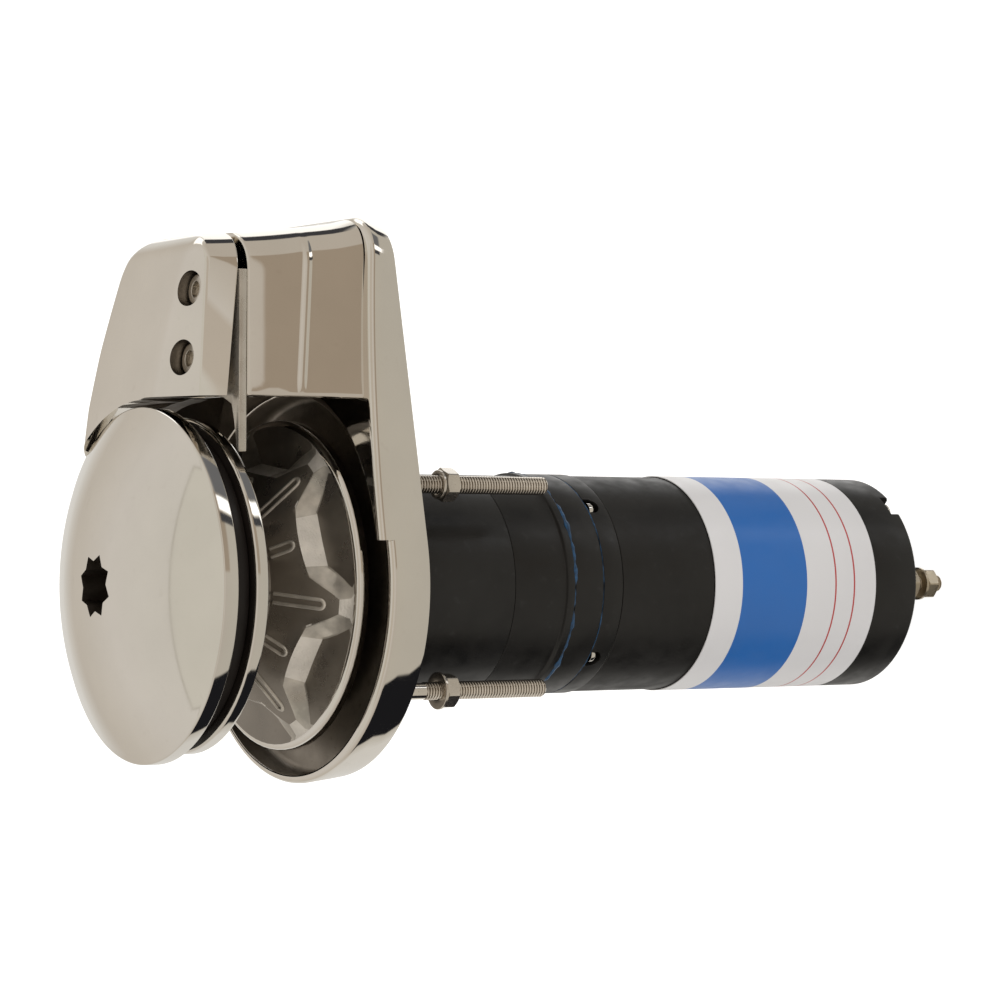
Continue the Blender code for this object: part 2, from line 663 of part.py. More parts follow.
# ---------------------------------------------------------------- motor
def make_armature(motor):
    shaft_r = 0.006
    profile = [(0, -0.0865), (shaft_r, -0.0865), (shaft_r, -0.1380), (0.030, -0.1400),
               (0.033, -0.1500), (0.037, -0.1500), (0.037, -0.2350), (0.033, -0.2350),
               (0.026, -0.2440), (shaft_r, -0.2440), (shaft_r, -0.2850), (0, -0.2850)]
    armature = turned("armature", profile, (DARK_STEEL, 0.4, 1.0), 24, parent=motor)
    pinion = prism("pinion", external_gear(SUN_TEETH), -0.0958, -0.0867)
    boolean(armature, pinion, "UNION")
    tube("commutator", 0.017, shaft_r + GAP, -0.2443, -0.2690, ((0.72, 0.42, 0.25), 0.3, 1.0),
         24, parent=motor)


def make_motor_case():
    tube("motor_case", CASE_R, 0.0455, PLATE_END - GAP, CASE_END, (BLACK, 0.4, 0.0), 32)
    tube("motor_label", 0.0501, CASE_R + GAP, LABEL_TOP, LABEL_END, (LABEL_WHITE, 0.3, 0.0), 32)
    for i, middle in enumerate((BOLT_ANGLE + math.pi / 2, BOLT_ANGLE - math.pi / 2), 1):
        half = math.radians(65)
        outline = (arc(0.0451, middle - half, middle + half, 10)
                   + arc(0.0385, middle + half, middle - half, 10))
        prism(f"field_magnet_{i}", outline, -0.246, -0.140, (DARK_STEEL, 0.6, 0.0))


def make_brushes():
    tube("brush_plate", 0.0372, 0.022, -0.2620, -0.2660, ((0.35, 0.2, 0.1), 0.6, 0.0), 24)
    for i, side in enumerate((-1, 1), 1):
        low, high = sorted((side * 0.0173, side * 0.0300))
        box(f"carbon_brush_{i}", (low, -0.004, -0.2617), (high, 0.004, -0.2520),
            ((0.05, 0.05, 0.05), 0.7, 0.0))


def make_end_cap():
    profile = [(0, -0.2862), (0.0143, -0.2862), (0.0143, -0.2770), (0.018, -0.2770),
               (0.018, -0.2862), (0.044, -0.2862), (0.044, CASE_END - GAP),
               (MOTOR_R, CASE_END - GAP), (MOTOR_R, CAP_FACE + 0.002), (0.048, CAP_FACE),
               (0, CAP_FACE)]
    cap = turned("motor_end_cap", profile, (BLACK, 0.4, 0.0))
    tube("rear_bearing", 0.014, 0.0063, -0.2773, -0.2859, (STEEL, 0.2, 1.0), SMALL_STEPS)
    for i, angle in enumerate((BOLT_ANGLE, BOLT_ANGLE + math.pi), 1):
        at = (BOLT_R * math.cos(angle), BOLT_R * math.sin(angle), 0)
        notch = box(f"cut_bolt_notch_{i}", (-0.005, -0.0055, -0.30), (0.012, 0.0055, -0.2905),
                    at=at)
        notch.rotation_euler.z = angle
        boolean(cap, notch)
        boolean(cap, rod(f"cut_cap_bolt_{i}", 0.0028, -0.26, -0.30, steps=10, at=at))
        body = [(0, -0.1178), (0.0025, -0.1178), (0.0025, -0.2908), (0.0044, -0.2908),
                (0.0044, -0.2925), (0.0028, -0.2940), (0, -0.2940)]
        turned(f"tie_bolt_{i}", body, (STEEL, 0.2, 1.0), 10, at=at)
    for i, side in enumerate((-1, 1), 1):
        at = (0, side * TERMINAL_Y, 0)
        hole = rod(f"cut_terminal_{i}", TERMINAL_R + GAP, -0.27, -0.30, steps=10, at=at)
        hole.rotation_euler.z = 0.17
        boolean(cap, hole)
        rod(f"terminal_stud_{i}", TERMINAL_R, -0.2760, TERMINAL_TIP, (STEEL, 0.2, 1.0), 12,
            at=at)
        nut = prism(f"terminal_nut_{i}", hexagon(NUT_AF), -0.3160, -0.3095, (STEEL, 0.2, 1.0),
                    at=at)
        boolean(nut, rod(f"cut_terminal_nut_{i}", TERMINAL_R + GAP, -0.3, -0.33, steps=10, at=at))


# ---------------------------------------------------------------- assembly
clear_scene()
PARTS = collection("anchor_windlass")
CUTTERS = collection("cutters")
drive_axis = axis_empty("drive_axis")
lift_axis = axis_empty("clutch_lift_axis")
turn_axis = axis_empty("clutch_turn_axis")
middle_axis = axis_empty("input_carrier_axis")
motor_axis = axis_empty("motor_axis")

make_base_plate()
make_deck_seal()
make_housing()
make_cover()
make_cover_screws()
make_stripper()
make_shaft(drive_axis)
make_lower_cone(drive_axis)
make_gypsy()
make_clutch(lift_axis, turn_axis)
make_seal_and_bearing()
make_studs()
make_gearbox_cases()
make_gears(drive_axis, middle_axis)
make_armature(motor_axis)
make_motor_case()
make_brushes()
make_end_cap()
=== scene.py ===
"""Looks of the vertical anchor windlass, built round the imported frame.

Metres, the frame's own axes: +Z up along the shaft, +X from the gypsy to the hood, and the
chain comes in on the -Y side. Helpers first, then materials, pieces, and the studio.
"""
from functools import cache
from math import acos, atan, atan2, cos, exp, pi, radians, sin, sqrt, tan

import bmesh
import bpy
from mathutils import Matrix, Vector


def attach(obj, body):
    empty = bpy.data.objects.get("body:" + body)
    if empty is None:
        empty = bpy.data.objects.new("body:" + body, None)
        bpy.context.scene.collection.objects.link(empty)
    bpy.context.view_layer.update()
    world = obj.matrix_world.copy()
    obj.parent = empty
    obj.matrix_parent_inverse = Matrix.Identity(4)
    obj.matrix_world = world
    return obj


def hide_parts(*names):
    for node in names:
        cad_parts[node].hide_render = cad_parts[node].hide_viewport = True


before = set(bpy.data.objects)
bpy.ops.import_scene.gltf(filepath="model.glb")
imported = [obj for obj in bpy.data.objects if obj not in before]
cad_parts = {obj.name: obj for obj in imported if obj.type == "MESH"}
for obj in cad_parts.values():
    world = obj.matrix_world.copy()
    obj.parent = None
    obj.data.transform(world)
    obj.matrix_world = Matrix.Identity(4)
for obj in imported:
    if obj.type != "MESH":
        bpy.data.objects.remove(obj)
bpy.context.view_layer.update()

# --- dimensions
TAPER = radians(13.2)  # angle of each side to the X axis
BASE_R = 0.0838  # round end of the base, at the deck
BASE_END = 0.1555
BASE_FLARE = 0.0019  # how far its wall leans out
BASE_LIP = 0.0026  # rounding of its upper edge
CORNER_R = 0.022
RIM_Z = 0.02  # top of the wall round the gypsy
STEP_X = 0.0203  # where that wall steps up to the hood's shelf
WELL_R = 0.0822
HOOD_SIDE = 0.0833  # hood walls at z = 0, and how they lean in going up
HOOD_DRAFT = 0.1757
HOOD_END = 0.1562
END_DRAFT = 0.121
HOOD_WALL = 0.005
NEAR_X = 0.079  # the hood's mouth: near face, far face, cut-out radius
FAR_X = 0.05
MOUTH_R = 0.078
BEAD_W, BEAD_H = 0.0021, 0.0005  # ridge along the near wall
PLATE = 0.0035  # stripper thickness and its inner edge
PLATE_Y = -0.018
PLANE_TILT = 0.094  # slope of the screws' plane
WALL_TILT = 0.112
SCREWS = ((0.0937, -0.0285), (0.1225, -0.0285))
POCKET_AT = radians(-67.0)  # middle of the first pocket, from +X
CONE_SLOPE = 0.638
RIM_EDGE_Z = 0.02785  # groove side of the lower flange's rim
CHORD_R = 0.0483  # middle of a pocket's inner edge
MIRROR_Z = 0.0983  # lower face's height plus the upper face's
FLANGE_R = 0.0713
CAP_APEX, CAP_EDGE_Z, CAP_R = 0.1133, 0.092, 0.0753
STAR_R, STAR_FLOOR = 0.0137, 0.0995
STUDS = tuple((sx * 0.0438, sy * 0.057) for sx in (1, -1) for sy in (-1, 1))
THREAD_PITCH = 0.00137
TERMINAL_PITCH = 0.00125
NUT_AF, NUT_BORE = 0.013, 0.0034
WASHER_BORE = 0.0042
CASE_R, LABEL_R = 0.0494, 0.05005
SCREW_ANGLES = (radians(-44.5), radians(-131.0))
BOLT_ANGLES = (radians(-41.3), radians(138.7))
SCREW_AT, BOLT_AT, TERMINAL_AT = 0.0455, 0.0445, 0.035
FLOOR_Z = -0.3235
QUARTER = pi / 2


def shelf_z(x):
    return 0.0243 - 0.55 * x * x


def parting_z(x):
    return 0.0819 - PLANE_TILT * x


def wall_top_z(x):
    """Top of the housing, where the stripper plate lies."""
    return 0.0799 - WALL_TILT * x


def cover_foot_z(x):
    """Lower edge of the cover above the stripper plate."""
    return 0.0946 - 0.192 * x


def cover_z(x):
    return 0.0964 - 0.656 * x * x


def unit(value):
    return max(0.0, min(1.0, value))


def side_y(side_r, x):
    """Half width at x of an outline whose sides pass side_r from the shaft."""
    return (side_r - x * sin(TAPER)) / cos(TAPER)


def hood_side(z):
    return HOOD_SIDE - HOOD_DRAFT * z


def end_corners(side_r, end_x, corner, steps):
    """Rounded near and far corners between tapering sides and a square end."""
    x = end_x - corner
    y = side_y(side_r - corner, x)
    return (arc_points((x, -y), corner, TAPER - QUARTER, 0, steps),
            arc_points((x, y), corner, 0, QUARTER - TAPER, steps))


# --- mesh helpers
def new_object(name, data):
    obj = bpy.data.objects.new(name, data)
    bpy.context.collection.objects.link(obj)
    return obj


def make(name, bm, looks, body, node_name="", sharp=32, face_slot=0):
    """Finish a mesh, give it its materials and say what it rides on and stands for."""
    bmesh.ops.remove_doubles(bm, verts=bm.verts, dist=1e-6)
    bmesh.ops.recalc_face_normals(bm, faces=bm.faces)
    if face_slot:
        for face in bm.faces:
            face.material_index = face_slot
    mesh = bpy.data.meshes.new(name)
    bm.to_mesh(mesh)
    bm.free()
    obj = new_object(name, mesh)
    for look in looks:
        mesh.materials.append(look)
    shade(mesh, sharp)
    if body:
        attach(obj, body)
        if node_name:
            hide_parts(node_name)
    return obj


def shade(mesh, sharp):
    mesh.shade_smooth()
    mesh.set_sharp_from_angle(angle=radians(sharp))


def carve(obj, cutter, sharp=32):
    """Cut one mesh out of another and throw the cutter away."""
    cut = obj.modifiers.new("cut", "BOOLEAN")
    cut.solver = "EXACT"
    cut.operation = "DIFFERENCE"
    cut.object = cutter
    bpy.context.view_layer.update()
    done = obj.evaluated_get(bpy.context.evaluated_depsgraph_get())
    mesh = bpy.data.meshes.new_from_object(done)
    obj.modifiers.clear()
    obj.data = mesh
    shade(mesh, sharp)
    bpy.data.objects.remove(cutter)


def grid(bm, rows, closed_rows=True, slot_of=None):
    """Skin closed rows of points, all of one length, with quads."""
    loops = [[bm.verts.new(point) for point in row] for row in rows]
    count = len(rows[0])
    for k in range(len(loops) if closed_rows else len(loops) - 1):
        this, after = loops[k], loops[(k + 1) % len(loops)]
        for i in range(count):
            j = (i + 1) % count
            face = bm.faces.new((this[i], this[j], after[j], after[i]))
            if slot_of:
                face.material_index = slot_of(k, i)
    return loops


def skin(name, rows, looks, body=None, node_name="", sharp=32, face_slot=0,
         slot_of=None, capped=True):
    """Skin rows of points into a solid, with flat ends or joined into a ring."""
    bm = bmesh.new()
    loops = grid(bm, rows, not capped, slot_of)
    if capped:
        cap_ends(bm, loops)
    return make(name, bm, looks, body, node_name, sharp, face_slot)


def cap_ends(bm, loops):
    bm.faces.new(loops[0][::-1])
    bm.faces.new(loops[-1])


def prism(name, outline, low, high, looks, face_slot=0):
    return skin(name, [[(x, y, z) for x, y in outline] for z in (low, high)], looks,
                face_slot=face_slot)


def rounded(corners, steps=4, closed=False):
    """Polyline through (u, v, radius) corners with each corner rounded."""
    out = []
    count = len(corners)
    for i, (u, v, radius) in enumerate(corners):
        here = Vector((u, v))
        if radius <= 0 or (not closed and i in (0, count - 1)):
            out.append((u, v))
            continue
        back = Vector(corners[i - 1][:2]) - here
        ahead = Vector(corners[(i + 1) % count][:2]) - here
        half = back.angle(ahead) / 2
        cut = min(radius / tan(half), 0.49 * back.length, 0.49 * ahead.length)
        reach = cut * tan(half)
        centre = here + (back.normalized() + ahead.normalized()).normalized() * (
            reach / sin(half))
        start = here + back.normalized() * cut - centre
        end = here + ahead.normalized() * cut - centre
        turn = atan2(start.x * end.y - start.y * end.x, start.dot(end))
        for k in range(steps + 1):
            a = turn * k / steps
            out.append((centre.x + start.x * cos(a) - start.y * sin(a),
                        centre.y + start.x * sin(a) + start.y * cos(a)))
    return out


def lathe(name, corners, looks, body, node_name="", steps=96, at=(0, 0, 0), sharp=32,
          slot_of=None, arc_steps=4):
    """Turn a profile of (radius, z, fillet) corners about Z, closed on the axis or itself."""
    profile = rounded(corners, arc_steps)
    on_axis = profile[0][0] < 1e-7 and profile[-1][0] < 1e-7
    bm = bmesh.new()
    rows = []
    for radius, z in profile:
        if radius < 1e-7:
            rows.append([bm.verts.new((at[0], at[1], z + at[2]))])
            continue
        rows.append([bm.verts.new(polar(radius, 2 * pi * i / steps, z, at))
                     for i in range(steps)])
    pairs = list(zip(rows, rows[1:])) + ([] if on_axis else [(rows[-1], rows[0])])
    for k, (this, after) in enumerate(pairs):
        for i in range(steps):
            j = (i + 1) % steps
            corner = []
            for vert in (this[i % len(this)], this[j % len(this)],
                         after[j % len(after)], after[i % len(after)]):
                if vert not in corner:
                    corner.append(vert)
            if len(corner) > 2:
                face = bm.faces.new(corner)
                if slot_of:
                    face.material_index = slot_of(profile[k][1])
    return make(name, bm, looks, body, node_name, sharp)


def block(name, low, high, turn, at, corner):
    """Box cutter with rounded upright corners."""
    outline = rounded([(low[0], low[1], corner), (high[0], low[1], corner),
                       (high[0], high[1], corner), (low[0], high[1], corner)], 5, True)
    spin = Matrix.Rotation(turn, 4, "Z")
    return skin(name, [[spin @ Vector((x, y, z)) + Vector(at) for x, y in outline]
                       for z in (low[2], high[2])], [PLAIN])


def polar(radius, angle, z=0.0, at=(0, 0, 0)):
    return (at[0] + radius * cos(angle), at[1] + radius * sin(angle), at[2] + z)


def eased(x, y, z, middle, slip):
    """A point moved towards the middle of its outline."""
    pull = (Vector(middle) - Vector((x, y))).normalized() * slip
    return (x + pull.x, y + pull.y, z)


def arc_points(centre, radius, start, end, steps):
    return [(centre[0] + radius * cos(start + (end - start) * i / steps),
             centre[1] + radius * sin(start + (end - start) * i / steps))
            for i in range(steps + 1)]


def line_points(start, end, steps):
    return [tuple(a + (b - a) * i / steps for a, b in zip(start, end)) for i in range(1, steps)]


# --- materials
def feed(made, inputs):
    """Set a node's inputs, each to a constant or from another node's output."""
    for key, value in inputs.items():
        if isinstance(value, bpy.types.NodeSocket):
            made.id_data.links.new(value, made.inputs[key])
        else:
            made.inputs[key].default_value = (*value, 1) if isinstance(value, tuple) else value


def node(tree, kind, inputs=None, **settings):
    made = tree.nodes.new(kind)
    for key, value in settings.items():
        setattr(made, key, value)
    feed(made, inputs or {})
    return made


def math_node(tree, operation, *values):
    return node(tree, "ShaderNodeMath", dict(enumerate(values)), operation=operation).outputs[0]


def noise(tree, coords, scale, detail=3.0):
    """Noise over the object's own coordinates, in features per metre."""
    return node(tree, "ShaderNodeTexNoise",
                {"Vector": coords, "Scale": scale, "Detail": detail}).outputs["Fac"]


def remap(tree, value, low, high, to_low, to_high):
    return node(tree, "ShaderNodeMapRange",
                {"Value": value, "From Min": low, "From Max": high, "To Min": to_low,
                 "To Max": to_high}).outputs["Result"]


def mixed(tree, factor, first, second):
    return node(tree, "ShaderNodeMix", {"Factor": factor, "A": first, "B": second},
                data_type="RGBA").outputs["Result"]


def finish(name, colour, metallic, rough, tone, tone_scale=35, grain=None, wave=None,
           stain=None, specular=None):
    """A surface whose colour, roughness and relief all vary over it. Grain and wave are
    (features per metre, depth); stain is (colour, amount)."""
    look = bpy.data.materials.new(name)
    look.use_nodes = True
    tree = look.node_tree
    surface = tree.nodes["Principled BSDF"]
    coords = node(tree, "ShaderNodeTexCoord").outputs["Object"]
    dark = tuple(c * (1 - tone) for c in colour)
    light = tuple(min(1.0, c * (1 + tone)) for c in colour)
    tint = mixed(tree, remap(tree, noise(tree, coords, tone_scale), 0.35, 0.65, 0, 1),
                 dark, light)
    if stain:
        spots = remap(tree, noise(tree, coords, tone_scale * 6, 6), 0.62, 0.78, 0, stain[1])
        tint = mixed(tree, spots, tint, stain[0])
    feed(surface, {"Base Color": tint, "Metallic": metallic,
                   "Roughness": remap(tree, noise(tree, coords, 120, 5), 0.3, 0.7, *rough)})
    bump = None
    for relief, detail in ((wave, 1.0), (grain, 4.0)):
        if relief:
            below = bump
            bump = node(tree, "ShaderNodeBump",
                        {"Distance": relief[1],
                         "Height": noise(tree, coords, relief[0], detail)})
            if below:
                feed(bump, {"Normal": below.outputs["Normal"]})
    if bump:
        feed(surface, {"Normal": bump.outputs["Normal"]})
    if specular:
        feed(surface, {"Specular IOR Level": specular})
    return look


PLAIN = bpy.data.materials.new("plain")
POLISHED = finish("polished_stainless", (0.8, 0.765, 0.71), 1, (0.035, 0.075), 0.02,
                  grain=(2500, 8e-7), wave=(28, 5e-5), stain=((0.55, 0.5, 0.44), 0.12))
CAP_POLISH = finish("polished_cap", (0.81, 0.78, 0.73), 1, (0.045, 0.085), 0.02,
                    grain=(3000, 1.5e-6), wave=(20, 2e-5), stain=((0.62, 0.58, 0.52), 0.15))
BRIGHT = finish("bright_stainless", (0.8, 0.775, 0.73), 1, (0.03, 0.08), 0.02, grain=(2500, 8e-7),
                wave=(40, 3e-5))
BLASTED = finish("blasted_casting", (0.7, 0.67, 0.62), 0.62, (0.34, 0.48), 0.09, tone_scale=110,
                 grain=(1100, 2.2e-4), wave=(160, 1e-4), stain=((0.34, 0.31, 0.27), 0.4))
# Darker copy of the blasted casting: painted shade on the gypsy's pocket side walls and slot
# beads.
SIDE_PAINTED_SHADE = finish("shaded_casting", (0.5, 0.47, 0.42), 0.75, (0.26, 0.4), 0.22, tone_scale=110,
                   grain=(1500, 6e-5))
# Dark copy of the casting: painted shade on the gypsy's groove cone, pocket floors and hub.
GROOVE_PAINTED_SHADE = finish("groove_painted_shade", (0.27, 0.245, 0.215), 0.9, (0.24, 0.38), 0.1, tone_scale=60,
                grain=(1300, 3e-5), wave=(120, 8e-5), stain=((0.24, 0.21, 0.18), 0.45))
PLATE_STEEL = finish("sawn_plate", (0.52, 0.485, 0.43), 0.8, (0.22, 0.34), 0.05, tone_scale=120,
                     grain=(2200, 1e-5), stain=((0.35, 0.3, 0.24), 0.3))
THREAD = finish("machined_stainless", (0.8, 0.755, 0.69), 1, (0.07, 0.15), 0.06, tone_scale=200,
                grain=(3000, 4e-6), stain=((0.4, 0.34, 0.27), 0.4))
# Dark copy of the thread's steel: painted shade in the thread roots.
ROOT_PAINTED_SHADE = finish("thread_root_painted_shade", (0.2, 0.165, 0.125), 1, (0.18, 0.32), 0.12, tone_scale=200,
              grain=(3000, 4e-6))
NUT = finish("plain_nut", (0.72, 0.68, 0.62), 1, (0.2, 0.3), 0.05, tone_scale=150,
             grain=(2600, 8e-6), stain=((0.36, 0.31, 0.25), 0.35))
TERMINAL = finish("tinned_terminal", (0.56, 0.49, 0.38), 1, (0.22, 0.38), 0.1, tone_scale=150,
                  grain=(2500, 8e-6), stain=((0.3, 0.24, 0.16), 0.5))
BLACK = finish("black_enamel", (0.0042, 0.0041, 0.004), 0, (0.33, 0.52), 0.25,
               grain=(1800, 1.2e-5), wave=(60, 4e-5), stain=((0.05, 0.05, 0.052), 0.1),
               specular=0.46)
BLACK_TURNED = finish("black_anodised", (0.0042, 0.0041, 0.004), 0, (0.3, 0.48), 0.25,
                      grain=(2600, 8e-6), stain=((0.06, 0.06, 0.062), 0.12), specular=0.46)
# Black of the clutch lining and terminal bushes; on the gypsy's top face under the cap it is
# painted shade in the gap.
RING_BLACK_AND_GAP_SHADE = finish("friction_ring", (0.009, 0.007, 0.006), 0, (0.3, 0.5), 0.2, grain=(1200, 2e-5),
              specular=0.25)
# Darker stainless with stains: painted shade in the well round the gypsy, the base's hole and the
# cover's counterbores.
WELL_PAINTED_SHADE = finish("well_painted_shade", (0.3, 0.27, 0.235), 1, (0.3, 0.45), 0.15, tone_scale=50,
              grain=(1100, 4e-5), stain=((0.12, 0.1, 0.08), 0.5))
# Dark stainless: painted shade inside the hood, on its mouth's curve, and in the cap's star
# recess and pit.
HOLLOW_PAINTED_SHADE = finish("hollow_painted_shade", (0.16, 0.14, 0.12), 1, (0.35, 0.55), 0.2, grain=(900, 6e-5))
SEALANT = finish("blue_sealant", (0.005, 0.036, 0.088), 0, (0.3, 0.5), 0.4, tone_scale=400,
                 grain=(900, 3e-5))
FILM = finish("label_film", (0.535, 0.535, 0.55), 0, (0.28, 0.4), 0.015, tone_scale=25,
              grain=(700, 6e-6), wave=(45, 6e-5))
FILM_BLUE = finish("label_blue", (0.008, 0.1, 0.35), 0, (0.28, 0.4), 0.03, tone_scale=25,
                   grain=(700, 6e-6), wave=(45, 6e-5))
FILM_RED = finish("label_red", (0.36, 0.04, 0.04), 0, (0.3, 0.42), 0.03)
FILM_EDGE = finish("label_edge", (0.45, 0.45, 0.46), 0, (0.3, 0.42), 0.05)


# --- base plate
def base_loop(inset):
    """Outline of the base as (x, y, side) with the step's place doubled: side is 0 round
    the gypsy and 1 along the hood."""
    side_r, corner = BASE_R - inset, max(0.004, CORNER_R - inset)
    round_end = arc_points((0, 0), side_r, QUARTER - TAPER, 3 * QUARTER + TAPER, 90)
    near, far = end_corners(side_r, BASE_END - inset, corner, 12)
    step_y = side_y(side_r, STEP_X)
    hood = [(STEP_X, -step_y)] + line_points((STEP_X, -step_y), near[0], 16)
    hood += near + line_points(near[-1], far[0], 8) + far
    hood += line_points(far[-1], (STEP_X, step_y), 16) + [(STEP_X, step_y)]
    return ([(x, y, 0) for x, y in round_end + [(STEP_X, -step_y)]]
            + [(x, y, 1) for x, y in hood] + [(STEP_X, step_y, 0)])


def well_loop():
    """The well's circle, point for point with base_loop."""
    outer = base_loop(0)
    first = next(i for i, p in enumerate(outer) if p[2] == 1)
    last = max(i for i, p in enumerate(outer) if p[2] == 1)
    limit = acos(STEP_X / WELL_R)
    start, end = QUARTER - TAPER, 3 * QUARTER + TAPER
    loop = []
    for i, (x, y, side) in enumerate(outer):
        if side:
            angle = -limit + 2 * limit * (i - first) / (last - first)
        elif i <= 90:
            angle = start + (end - start) * i / 90
        else:
            angle = -limit if y < 0 else limit
        loop.append(polar(WELL_R, angle, side))
    return loop


def top_of(x, side, shift=0.0):
    return (shelf_z(x) if side else RIM_Z) - shift


def make_base():
    lip = BASE_LIP
    rows = [[(x, y, z) for x, y, _ in base_loop(inset)]
            for inset, z in ((0.0008, 0.0), (0.0002, 0.0003), (0.0, 0.001))]
    for part in (0.34, 0.68, 1.0):
        rows.append([(x, y, part * top_of(x, side, lip))
                     for x, y, side in base_loop(-BASE_FLARE * part)])
    for k in range(7):
        turn = QUARTER * k / 6
        inset = -BASE_FLARE + lip * (1 - cos(turn))
        rows.append([(x, y, top_of(x, side, lip * (1 - sin(turn))))
                     for x, y, side in base_loop(inset)])
    edge = base_loop(-BASE_FLARE + lip)
    inner = well_loop()
    for k in range(1, 11):
        part = k / 10 * 0.96
        between = [(xa + (xb - xa) * part, ya + (yb - ya) * part, side)
                   for (xa, ya, side), (xb, yb, _) in zip(edge, inner)]
        rows.append([(x, y, top_of(x, side)) for x, y, side in between])
    for drop, grow in ((0.0, 0.0), (0.0002, -0.0003), (0.0007, -0.0006), (0.0016, -0.0006)):
        scale = (WELL_R + 0.0006 + grow) / WELL_R
        rows.append([(x * scale, y * scale, top_of(x, side, drop)) for x, y, side in inner])
    wall_rows = len(rows)
    for radius, z in ((0.0822, 0.0125), (0.082, 0.0105), (0.081, 0.0088), (0.079, 0.008),
                      (0.06, 0.008), (0.036, 0.008), (0.025, 0.0082), (0.024, 0.0092),
                      (0.0238, 0.0122), (0.023, 0.0128), (0.0205, 0.0128), (0.0133, 0.0126),
                      (0.0133, 0.0006), (0.02, 0.0006), (0.0497, 0.0012), (0.0497, 0.0)):
        scale = radius / WELL_R
        rows.append([(x * scale, y * scale, z) for x, y, _ in inner])
    bm = bmesh.new()
    # The well's inner wall and floor take the darker stainless as painted shade.
    grid(bm, rows, slot_of=lambda k, i: 1 if k >= wall_rows - 2 else 0)
    bmesh.ops.remove_doubles(bm, verts=bm.verts, dist=2e-6)
    bmesh.ops.dissolve_degenerate(bm, edges=bm.edges, dist=1e-7)
    base = make("base_casting", bm, [POLISHED, WELL_PAINTED_SHADE], "frame", "base_plate", sharp=40)
    # The hole's walls take the darker stainless as painted shade.
    hole = lathe("hole", [(0, 0.06, 0), (0.03, 0.06, 0), (0.03, -0.02, 0), (0, -0.02, 0)],
                 [POLISHED, WELL_PAINTED_SHADE], None, steps=64, at=(0.112, -0.01, 0), slot_of=lambda z: 1)
    carve(base, hole, sharp=40)


# --- hood
@cache
def hood_outline(z):
    """Hood outline at one height as (x, y, place): 1 on the near side wall, fading to 0
    round its corner, and -1 on the mouth's curve."""
    side_r = hood_side(z)
    near, far = end_corners(side_r, HOOD_END - END_DRAFT * z, CORNER_R, 14)
    edge = 0.0016
    near_y, far_y = -side_y(side_r, NEAR_X), side_y(side_r, FAR_X)
    face = arc_points((NEAR_X + edge, near_y + edge * 1.22), edge, 2 * QUARTER,
                      3 * QUARTER + TAPER, 5)
    tip = acos(FAR_X / MOUTH_R)
    points = []
    for place, run in ((0.0, face), (1.0, line_points(face[-1], near[0], 18)), (None, near),
                       (0.0, line_points(near[-1], far[0], 6) + far),
                       (0.0, line_points(far[-1], (FAR_X, far_y), 20) + [(FAR_X, far_y)]),
                       (-1.0, [(FAR_X - 0.0004, far_y - 0.0012)]),
                       (-1.0, arc_points((0, 0), MOUTH_R, tip - 0.012, 0.03, 24)),
                       (0.0, [(NEAR_X, -0.004)] + line_points((NEAR_X, -0.004), face[0], 8))):
        points += [(x, y, max(0.0, 1.0 - i / 9) if place is None else place)
                   for i, (x, y) in enumerate(run)]
    return points


def ridge_z(x):
    return 0.0468 - 0.165 * (x - 0.086)


def make_housing():
    """Draft walls, a raised bead along the near wall, softly crowned panels beside it."""
    levels = [("low", part) for part in (0.0, 0.25, 0.5, 0.75, 0.93)]
    levels += [("bead", i / 4) for i in range(-4, 5)]
    levels += [("high", part) for part in (0.07, 0.2, 0.4, 0.6, 0.8, 0.93, 1.0)]
    middle = outline_at(0.05)
    edge = 0.0008
    rings = []
    for kind, value in levels:
        ring = []
        for i, (x, _, _) in enumerate(middle):
            foot, top = shelf_z(x) - 0.0004, wall_top_z(x) - edge
            fold = max(foot + 0.006, min(top - 0.006, ridge_z(x)))
            if kind == "low":
                z = foot + (fold - BEAD_W - foot) * value
                out = 0.0005 * sin(pi * value)
            elif kind == "bead":
                z = fold + BEAD_W * value
                out = BEAD_H * cos(QUARTER * value)
            else:
                z = fold + BEAD_W + (top - fold - BEAD_W) * value
                out = 0.0008 * sin(pi * value)
            x, y, place = outline_at(z)[i]
            out *= max(0.0, place)
            x += 0.0016 * unit((x - 0.125) / 0.025) * exp(-max(0.0, z - shelf_z(x)) / 0.006)
            ring.append((x + out * sin(TAPER), y - out * cos(TAPER), z))
        rings.append(ring)
    for k in range(1, 5):
        turn = QUARTER * k / 4
        ring = []
        for i, (x0, _, _) in enumerate(outline_at(0.07)):
            z = wall_top_z(x0) - edge + edge * sin(turn)
            x, y, _ = outline_at(z)[i]
            ring.append(eased(x, y, z, (0.105, -0.002), edge * (1 - cos(turn))))
        rings.append(ring)
    # The mouth's curve takes the dark stainless as painted shade.
    housing = skin("hood_housing", rings, [POLISHED, HOLLOW_PAINTED_SHADE], "frame", "chain_pipe_housing",
                   40,
                   slot_of=lambda k, i: 1 if middle[i][2] < 0 else 0)
    carve(housing, hood_cavity(), 40)


def outline_at(z):
    return hood_outline(round(z, 5))


def hood_cavity():
    rings = []
    for level in (lambda x: -0.006, lambda x: wall_top_z(x) - 0.0085):
        z_mid = level(0.1)
        side_r = hood_side(z_mid) - HOOD_WALL
        near, far = end_corners(side_r, HOOD_END - END_DRAFT * z_mid - HOOD_WALL,
                                CORNER_R - HOOD_WALL, 8)
        curve = arc_points((0, 0), side_r, QUARTER - TAPER, 3 * QUARTER + TAPER, 30)
        rings.append([(x, y, level(x)) for x, y in curve + near + far])
    # The cavity's faces take the dark stainless as painted shade inside the hood.
    return skin("cavity", rings, [POLISHED, HOLLOW_PAINTED_SHADE], face_slot=1)


